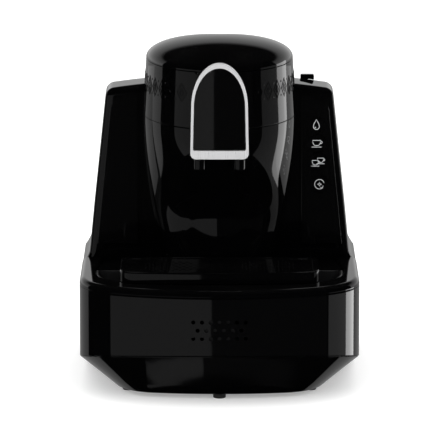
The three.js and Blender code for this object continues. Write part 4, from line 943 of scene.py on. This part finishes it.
def towerPlan(values, z, inset):
    seam = values["midSeam"]
    if z >= seam:
        rise = (z - seam) / (values["lidSeam"] - seam)
        half = values["half"] + (values["halfTop"] - values["half"]) * rise
        front = values["front"] + (values["frontTop"] - values["front"]) * rise
    else:
        half = values["half"] - values["tuck"] * ((seam - z) / (seam - values["tuckFoot"])) ** 2
        front = values["frontLow"] - values["frontTuck"] * smoothStep((z - values["tuckFrom"]) / values["tuckTall"])
    half, middle, share = half - inset, values["middleY"], 2 / values["power"]
    ahead, astern = middle - (front + inset), values["back"] - inset - middle
    near = [(half * math.cos(a), middle + ahead * math.sin(a)) for a in spread(-quarter, 0.0, 300)]
    far = [(half * abs(math.cos(a)) ** share, middle + astern * abs(math.sin(a)) ** share)
           for a in spread(0.0, quarter, 300)]
    return bothSides(resample(near, 72) + resample(far, 48)[1:])


def towerLevels(values, inset, heights):
    return [lifted(towerPlan(values, z, inset), z) for z in heights]


def towerEdge(values, z, side, edge, turns):
    # Rings of a rounded edge at a seam: side is -1 under the seam and 1 above it
    return [lifted(towerPlan(values, z, edge * (1 - math.cos(a))), z + side * edge * (1 - math.sin(a))) for a in turns]


def buildTowerLower(values):
    low, high, edge = values["foot"], values["midSeam"] - values["seamGap"], values["edge"]
    levels = towerLevels(values, 0.0, spread(low, high - edge, 36))
    levels += towerEdge(values, high, -1, edge, values["edgeTurns"])
    bm = carve(loftShell(levels + towerLevels(values, wall, spread(high, low, 12))),
               blockSolid(-130, 130, values["openBack"], 130, 0, 300),
               rod(values["outletRadius"], -90.0, -50.0, (0.0, 0.0, values["outletZ"]), 32, "Y"))
    finishPiece(bm, "lowerTower", ["tower_lower"])


def hingeLug(values, inner, outer, low, high):
    # An arm from the rear wall with a knuckle round the hinge's axis
    x0, x1 = sorted((inner, outer))
    y, z = values["axisY"], values["axisZ"]
    arm = blockSolid(x0, x1, values["back"] - wall, y, low, high)
    return combine(arm, rod(values["earRadius"], 0.0, x1 - x0, (x0, y, z), 40, "X"))


def pinHole(values):
    return rod(values["pin"], -90.0, 90.0, (0.0, values["axisY"], values["axisZ"]), 24, "X")


def buildTowerUpper(values, body):
    low, high = values["midSeam"] + values["seamGap"], values["lidSeam"] - gap
    edge, turns, half = values["edge"], values["edgeTurns"], values["notchHalf"]
    axis, radius, ear = values["axisZ"], values["earRadius"], values["earX"]
    levels = towerEdge(values, low, 1, edge, turns[::-1])
    levels += towerLevels(values, 0.0, spread(low + edge, high - edge, 14))
    levels += towerEdge(values, high, -1, edge, turns)
    bm = loftShell(levels + towerLevels(values, wall, spread(high, low, 4)))
    for step in ((0, 0, gap), (0, -gap, 0)):  # clear of the shoulders from above and from the front
        near = shoulderSolid(body, 0.0, body["bottom"], body["top"])
        bmesh.ops.translate(near, vec=step, verts=near.verts)
        bm = carve(bm, near)
    notch = blockSolid(-half, half, -90, values["frontTop"] + wall * 2, high - values["notchTall"], 290)
    lower = [e for e in notch.edges if all(v.co.z < 280 for v in e.verts)]
    corners = [e for e in lower if abs(e.verts[0].co.y - e.verts[1].co.y) > 1]
    bevelEdges(notch, corners, values["notchRound"], 5)
    bm = carve(bm, notch)
    for side in (-1, 1):
        lug = hingeLug(values, side * ear, side * (ear + values["earThick"]), axis - radius, axis + radius)
        bm = combine(bm, lug)
    finishPiece(carve(bm, pinHole(values)), "upperTower", ["tower_upper"])


def domeLevels(values, inset, bottom=None):
    seam, tall = values["lidSeam"], values["dome"] - inset
    outline = towerPlan(values, seam, inset)
    levels = [] if bottom is None else [lifted(outline, bottom)]
    for a in spread(0.0, quarter, 32):
        share, rise = max(values["domeTip"], math.cos(a)), min(values["domeFlat"], math.sin(a))
        levels.append(lifted([(x * share, y * share) for x, y in outline], seam + tall * rise))
    return levels


def buildLid(values):
    seam, axis, back, ear = values["lidSeam"], values["axisZ"], values["back"], values["earX"]
    outside = towerEdge(values, seam, 1, values["lidEdge"], values["lidTurns"]) + domeLevels(values, 0.0)[1:]
    bm = carve(loftSolid(outside), loftSolid(domeLevels(values, wall, seam - 4.0)))
    for side in (-1, 1):
        lug = hingeLug(values, side * (ear - gap), side * (ear - gap - values["earThick"]), axis, seam + wall)
        bm = combine(bm, carve(lug, blockSolid(-ear, ear, back - wall - 3, back + gap, axis - 3, seam)))
    finishPiece(carve(bm, pinHole(values)), "lidDome", ["lid_shell"], "lid")


buildTowerLower(towerValues)
buildTowerUpper(towerValues, shoulderValues)
buildLid(towerValues)


# Spout: arch-shaped body, satin frame with a bare dark inlay, and two nozzles under it
archValues = {"half": 24.8, "spring": 24.0, "shoulder": 249.0, "top": 287.0, "bottom": 204.5, "corner": 5.0,
              "front": -88.0, "frameBack": -83.3, "bodyFront": -83.0, "bodyBack": -59.0, "side": 2.3, "bar": 7.6,
              "cap": 4.2, "innerCorner": 1.5, "panelSet": 1.2, "frameEdge": 1.0, "openingEdge": 0.35,
              "panelEdge": 0.5, "bodyEdge": 0.4, "inlayBow": 173.0, "inlayProud": 0.6, "inlayCuts": (-21.0, 21.0, 28),
              "lidClear": 0.2}
nozzleValues = {"x": 17.0, "y": -76.0, "radius": 4.7, "bore": 2.5, "tip": 194.0, "root": 204.2, "lip": 1.0, "neck": 0.5,
                "neckAt": (1.6, 1.2, 0.6, 0.3),
                "boreLow": 200.0, "boreLip": 0.3}


def archLine(values, offset, bottom, corner):
    half, spring, shoulder = values["half"] - offset, values["spring"] - offset, values["shoulder"]
    crown = values["top"] - shoulder - (values["cap"] if offset > 0 else 0.0)
    line = arcLine(half - corner, bottom + corner, corner, -quarter, 0.0, 12)
    dense = [(spring * math.cos(a), shoulder + crown * math.sin(a)) for a in spread(0.0, math.pi, 400)]
    line += resample([line[-1]] + dense + [(-half, bottom + corner)], 120)[1:-1]
    line += arcLine(corner - half, bottom + corner, corner, math.pi, math.pi + quarter, 12)
    return line + [(x, bottom) for x in spread(corner - half, half - corner, 20)[1:-1]]


def buildArch(values):
    front, back, bottom, corner = values["front"], values["frameBack"], values["bottom"], values["innerCorner"]
    side, face = values["side"], values["front"] + values["panelSet"]
    bm = standingSolid(archLine(values, 0.0, bottom, values["corner"]), front, back, values["frameEdge"])
    bm = carve(bm, standingSolid(archLine(values, side, bottom + values["bar"], corner), front - 5, back + 5))
    roundEdges(bm, values["openingEdge"], 2, 60, lambda place: abs(place.y - front) < 0.01)
    finishPiece(bm, "archFrame", ["arch_frame"], finish="satinChrome", sharp=40.0)
    inlay = archLine(values, side + gap, bottom + values["bar"] + gap, corner)
    bm = standingSolid(inlay, face, back, values["panelEdge"], 3)
    for x in spread(*values["inlayCuts"]):
        parts = bm.verts[:] + bm.edges[:] + bm.faces[:]
        bmesh.ops.bisect_plane(bm, geom=parts, plane_co=(x, 0, 0), plane_no=(1, 0, 0), dist=0.001)
    for vert in bm.verts:
        if vert.co.y < face + 1.0:
            vert.co.y += vert.co.x ** 2 / (2 * values["inlayBow"]) - values["inlayProud"]
    finishPiece(bm, "archInlay", ["arch_panel"], finish="glossPanel")


def buildSpout(values, tower, nozzle):
    seam, highest, outlet = tower["midSeam"], tower["lidSeam"] - gap, tower["outletZ"]
    heights = spread(tower["foot"], seam, 30) + spread(seam + 0.3, highest + 0.6, 6)
    lid = {**tower, "dome": tower["dome"] + values["lidClear"]}
    outline = archLine(values, 0.0, values["bottom"], values["corner"])
    drops = [rod(nozzle["bore"], nozzle["boreLow"], outlet, (side * nozzle["x"], nozzle["y"], 0.0), 24)
             for side in (-1, 1)]
    bm = carve(standingSolid(outline, values["bodyFront"], values["bodyBack"], values["bodyEdge"], 3),
               loftSolid(towerLevels(tower, -gap * 1.5, heights)), loftSolid(domeLevels(lid, -gap * 4, highest)),
               rod(tower["outletRadius"], -90.0, -40.0, (0.0, 17.0, outlet), 32, "Y"), *drops)
    finishPiece(bm, "spoutBody", ["spout_body"])


def buildNozzles(values):
    radius, bore, tip, lip, root = values["radius"], values["bore"], values["tip"], values["lip"], values["root"]
    neck, start = radius - values["neck"], (bore, tip + values["boreLip"])
    profile = [start, (bore + values["boreLip"], tip)] + arcLine(radius - lip, tip + lip, lip, -quarter, 0.0, 6)
    profile += [(r, root - down) for r, down in zip((radius, neck, neck, radius), values["neckAt"])]
    profile += [(radius, root), (bore, root), start]
    for side, name in ((-1, "left"), (1, "right")):
        bm = turned(profile, (side * values["x"], values["y"], 0.0))
        finishPiece(bm, name + "Nozzle", ["nozzle_" + name])


# Buttons and the water indicator: gloss discs with thin pale pictograms, a drop, one cup, two cups and a cleaning mark
def buildDisc(name, node, radius, z, back, body="housing"):
    edge, stem, front = buttonValues["edge"], buttonValues["stem"], panelValues["front"]
    cap, end = buttonValues["capBack"] - front, back - front
    middle, half, rim = buttonValues["dish"]
    profile = [(0.0, middle), (radius * 0.5, half)] + arcLine(radius - edge, rim + edge, edge, -quarter, 0.0, 5)
    profile += [(radius, cap), (stem, cap), (stem, end), (0.0, end)]
    finishPiece(turned(profile, (buttonX(z), front, z), 80, "Y"), name, [node], body, "glossPanel")


def strokeInto(bm, points, width, closed=False):
    # A flat raised line in x and z through points, its ends square
    left, right = [], []
    count = len(points)
    for i, (x, z) in enumerate(points):
        before = points[i - 1] if (i or closed) else points[0]
        after = points[(i + 1) % count] if (i < count - 1 or closed) else points[-1]
        dx, dz = after[0] - before[0], after[1] - before[1]
        size = math.hypot(dx, dz) or 1.0
        nx, nz = -dz / size * width / 2, dx / size * width / 2
        left.append((x + nx, 0.0, z + nz))
        right.append((x - nx, 0.0, z - nz))
    made = bmesh.new()
    if closed:
        joinRings(made, [ringFrom(made, left), ringFrom(made, right)])
    else:
        bmesh.ops.edgeloop_fill(made, edges=ringFrom(made, left + right[::-1]))
    thicken(made, -buttonValues["printProud"])
    addTo(bm, made)


def cupLines(x, z, wide, tall):
    # Lines of a cup pictogram, seen from the side: bowl, handle and saucer
    half = [(0.12, -0.5), (0.30, -0.42), (0.46, 0.0), (0.5, 0.5)]
    bowl = [(x - wide * u, z + tall * v) for u, v in reversed(half)] + [(x + wide * u, z + tall * v) for u, v in half]
    handle = [(x + wide * (0.47 + 0.20 * math.sin(a)), z + tall * (0.12 + 0.26 * math.cos(a)))
              for a in spread(0.0, math.pi, 10)]
    saucer = [(x - wide * 0.62, z - tall * 0.78), (x + wide * 0.62, z - tall * 0.78)]
    return [(bowl, True), (handle, False), (saucer, False)]


def buildPrint(name, lines, z, body="housing", width=0.55):
    bm = bmesh.new()
    for points, closed in lines:
        strokeInto(bm, [(buttonX(z) + u, z + v) for u, v in points], width, closed)
    bmesh.ops.translate(bm, vec=(0, panelValues["front"] + buttonValues["printSink"], 0), verts=bm.verts)
    finishPiece(bm, name, body=body, finish="palePrint")


def buildButtons(values, panel):
    for key in ("one_cup", "two_cups", "clean"):
        name = key.replace("_", "") + "buttonDisc"
        buildDisc(name, "key_" + key, panel["buttonRadius"], values[key], values["stemBack"], key + "_button")
    buildDisc("waterLens", "water_indicator", panel["lensRadius"], values["lens"], values["guideBack"])
    side = [(1.1, 2.6), (2.3, 0.4)]
    drop = [(0.0, 4.6)] + side + arcLine(0.0, -1.5, 2.6, 0.5, -math.pi - 0.5, 18) + [(-x, z) for x, z in reversed(side)]
    glint = arcLine(0.0, -1.5, 1.3, math.pi + 0.2, math.pi + 1.3, 5)
    buildPrint("dropPrint", [(drop, True), (glint, False)], values["lens"])
    buildPrint("oneCupPrint", cupLines(-0.6, 0.5, 7.0, 4.6), values["one_cup"], "one_cup_button")
    pair = cupLines(1.9, 1.2, 5.6, 3.9) + cupLines(-2.6, -0.9, 5.6, 3.9)
    buildPrint("twoCupsPrint", pair, values["two_cups"], "two_cups_button", 0.5)
    ring = arcLine(0.0, 0.0, 4.2, 0.35, math.pi * 1.72, 30)
    x, z = ring[-1]
    arrow = [(x - 1.9, z + 0.5), (x, z), (x + 0.5, z + 2.0)]
    star = [(r * math.cos(a), r * math.sin(a)) for r, a in zip([1.9, 0.684] * 4, spread(0.0, math.pi * 1.75, 7))]
    buildPrint("cleanPrint", [(ring, False), (arrow, False), (star, True)], values["clean"], "clean_button", 0.5)


buildArch(archValues)
buildSpout(archValues, towerValues, nozzleValues)
buildNozzles(nozzleValues)
buildButtons(buttonValues, panelValues)


# Tank in its niche with its lid, and the feet
tankValues = {"half": 78.0, "front": 58.0, "back": 135.0, "corner": 10.0, "floor": 128.0, "top": 243.0, "wall": 2.0,
              "fall": 0.24, "lidLow": 243.3, "lidThick": 4.0, "lidEdge": 1.2, "lidFoot": 0.4, "tabX": (71.0, 77.5),
              "tabY": (58.3, 63.3), "tabTop": 255.0, "tabRound": 1.2, "grip": 83.0, "gripUnder": 250.85,
              "valveRadius": 7.0, "valveY": 96.0}
footValues = {"radius": 5.5, "tall": 3.7, "round": 0.9, "groove": [(2.2, 0.0), (2.0, 0.25), (1.7, 0.25), (1.5, 0.0)],
              "places": {"foot_front": (0.0, -98.0), "foot_front_left": (-78.0, -66.0),
                         "foot_front_right": (78.0, -66.0), "foot_rear_left": (-72.0, 112.0),
                         "foot_rear_right": (72.0, 112.0)}}


def tankPlan(values, inset):
    half, corner = values["half"] - inset, values["corner"] - inset
    front, back = values["front"] + inset, values["back"] - inset
    line = walk([(0.0, front)], (half - corner, front, 30), (half - corner, front + corner, corner, -quarter, 0.0, 12),
                (half, back - corner, 1), (half - corner, back - corner, corner, 0.0, quarter, 12), (0.0, back, 30))
    return bothSides(line)


def buildTank(values):
    floor, side, low, edge = values["floor"], values["wall"], values["lidLow"], values["lidEdge"]
    top, foot = low + values["lidThick"], values["lidFoot"]
    plan = lambda inset: tankPlan(values, inset)
    fall = lambda z: (lambda x, y: z - (y - values["front"]) * values["fall"])
    rise = lambda start, share: (lambda x, y: start + (fall(values["top"])(x, y) - start) * share)
    pairs = [(wall * (1 - math.sin(a)), floor + wall * (1 - math.cos(a))) for a in spread(0.0, quarter, 6)]
    pairs += [(0.0, rise(floor + wall, share)) for share in (0.3, 0.6, 1.0)]
    pairs += [(side, rise(floor + side + wall, share)) for share in (1.0, 0.6, 0.3, 0.0)]
    pairs.append((side + wall, floor + side))
    valve = rod(values["valveRadius"], floor - 5, floor + 8, (0.0, values["valveY"], 0.0), 40)
    finishPiece(carve(loftSolid(ringsOf(plan, pairs)), valve), "waterTank", ["water_tank"], "tank", "smokedTank")
    pairs = [(foot, low), (0.0, low + foot), (0.0, top - edge)] + roll(edge, top, 5)[1:]
    bm = loftSolid(ringsOf(plan, [(inset, fall(z)) for inset, z in pairs]))
    start, neck = values["tabX"]
    end, under, highest, rounding = values["grip"], values["gripUnder"], values["tabTop"], values["tabRound"]
    outline = [(start, low + 0.5), (neck, low + 0.5), (neck, under), (end - 0.4, under - 0.6), (end, under - 0.25)]
    outline += arcLine(end - rounding, highest - rounding, rounding, 0.0, quarter, 6)
    outline += arcLine(start + rounding, highest - rounding, rounding, quarter, math.pi, 6)
    finishPiece(combine(bm, standingSolid(outline, *values["tabY"])), "tankCover", ["tank_lid"], "tank_cover")


def buildFeet(values):
    radius, tall, rounding = values["radius"], values["tall"], values["round"]
    profile = [(0.0, 0.0)] + [(radius - inset, z) for inset, z in values["groove"]]
    profile += arcLine(radius - rounding, rounding, rounding, -quarter, 0.0, 5) + [(radius, tall), (0.0, tall)]
    for node, (x, y) in values["places"].items():
        name = "pad" + "".join(word.capitalize() for word in node.split("_")[1:])
        finishPiece(turned(profile, (x, y, 0.0), 56), name, [node], finish="blackRubber")


buildTank(tankValues)
buildFeet(footValues)


# Ornament round the upper tower: thin raised lozenges and dots, black on black
ornamentValues = {"low": 249.5, "high": 266.0, "sideCount": 9, "pitch": 13.2, "wide": 0.40, "line": 0.62, "fine": 0.8,
                  "ridge": 0.7, "proud": 0.42, "sink": 0.15, "dotRadius": 1.1, "dotLevel": 0.36, "archClear": 29.0,
                  "innerShare": 0.45, "lozenge": [(0.0, 0.46), (0.5, 0.23), (1.0, 0.0), (0.5, -0.23), (0.0, -0.46),
                                                  (-0.5, -0.23), (-1.0, 0.0), (-0.5, 0.23)]}


def onTower(tower, along, z, proud):
    # Point on the upper tower's wall: along is the length from the front middle, to the right
    plan = towerPlan(tower, z, -proud)
    side = 1.0 if along >= 0 else -1.0
    left = abs(along)
    for a, b in zip(plan, plan[1:]):
        step = math.dist(a, b)
        if step >= left:
            share = left / step
            return (side * (a[0] + (b[0] - a[0]) * share), a[1] + (b[1] - a[1]) * share, z)
        left -= step


def buildOrnament(values, tower):
    middle, tall = (values["low"] + values["high"]) / 2, values["high"] - values["low"]
    proud, sink, pitch = values["proud"], values["sink"], values["pitch"]
    line, radius, fine, ridge = values["line"], values["dotRadius"], values["fine"], values["ridge"]
    bm = bmesh.new()

    def raisedRing(points, width):
        # A closed stroke in (along, z), laid on the wall and raised from it
        midU, midZ = (sum(point[k] for point in points) / len(points) for k in (0, 1))
        rings = []
        for grow, lift in ((-width, -sink), (-width * ridge, proud), (width * ridge, proud), (width, -sink)):
            grown = [(u - midU, z - midZ, 1 + grow / math.hypot(u - midU, z - midZ)) for u, z in points]
            rings.append([onTower(tower, midU + du * share, midZ + dz * share, lift) for du, dz, share in grown])
        addTo(bm, loftShell(rings))

    def raisedDot(u, z, radius):
        rings = []
        for share, lift in ((1.0, -sink), (0.85, proud * ridge), (0.45, proud)):
            circle = arcLine(u, z, radius * share, 0.0, math.pi * 2, 12)[:-1]
            rings.append([onTower(tower, *point, lift) for point in circle])
        addTo(bm, loftSolid(rings))

    for side in (-1, 1):
        for i in range(values["sideCount"]):
            u = side * (values["archClear"] + pitch * (i + 0.5))
            lozenge = [(u + pitch * values["wide"] * p, middle + tall * q) for p, q in values["lozenge"]]
            raisedRing(lozenge, line)
            share = values["innerShare"]
            raisedRing([(u + (p - u) * share, middle + (q - middle) * share) for p, q in lozenge], line * fine)
            raisedDot(u, middle, radius)
            for level in (values["dotLevel"], -values["dotLevel"]):
                raisedDot(u + side * pitch / 2, middle + tall * level, radius * fine)
    finishPiece(bm, "ornamentBand")


buildOrnament(ornamentValues, towerValues)


def linkCards(parts):
    # The cards of the base light only the pieces named, the others all but them
    for part, state in (("base", "INCLUDE"), ("tower", "EXCLUDE")):
        group = bpy.data.collections.new(part + "Cards")
        for i, name in enumerate(parts):
            group.objects.link(bpy.data.objects[name])
            group.collection_objects[i].light_linking.link_state = state
        for card in bpy.data.objects:
            if card.get("part") == part:
                card.light_linking.receiver_collection = group


linkCards(["baseBand", "basinRim", "bellyPan"])
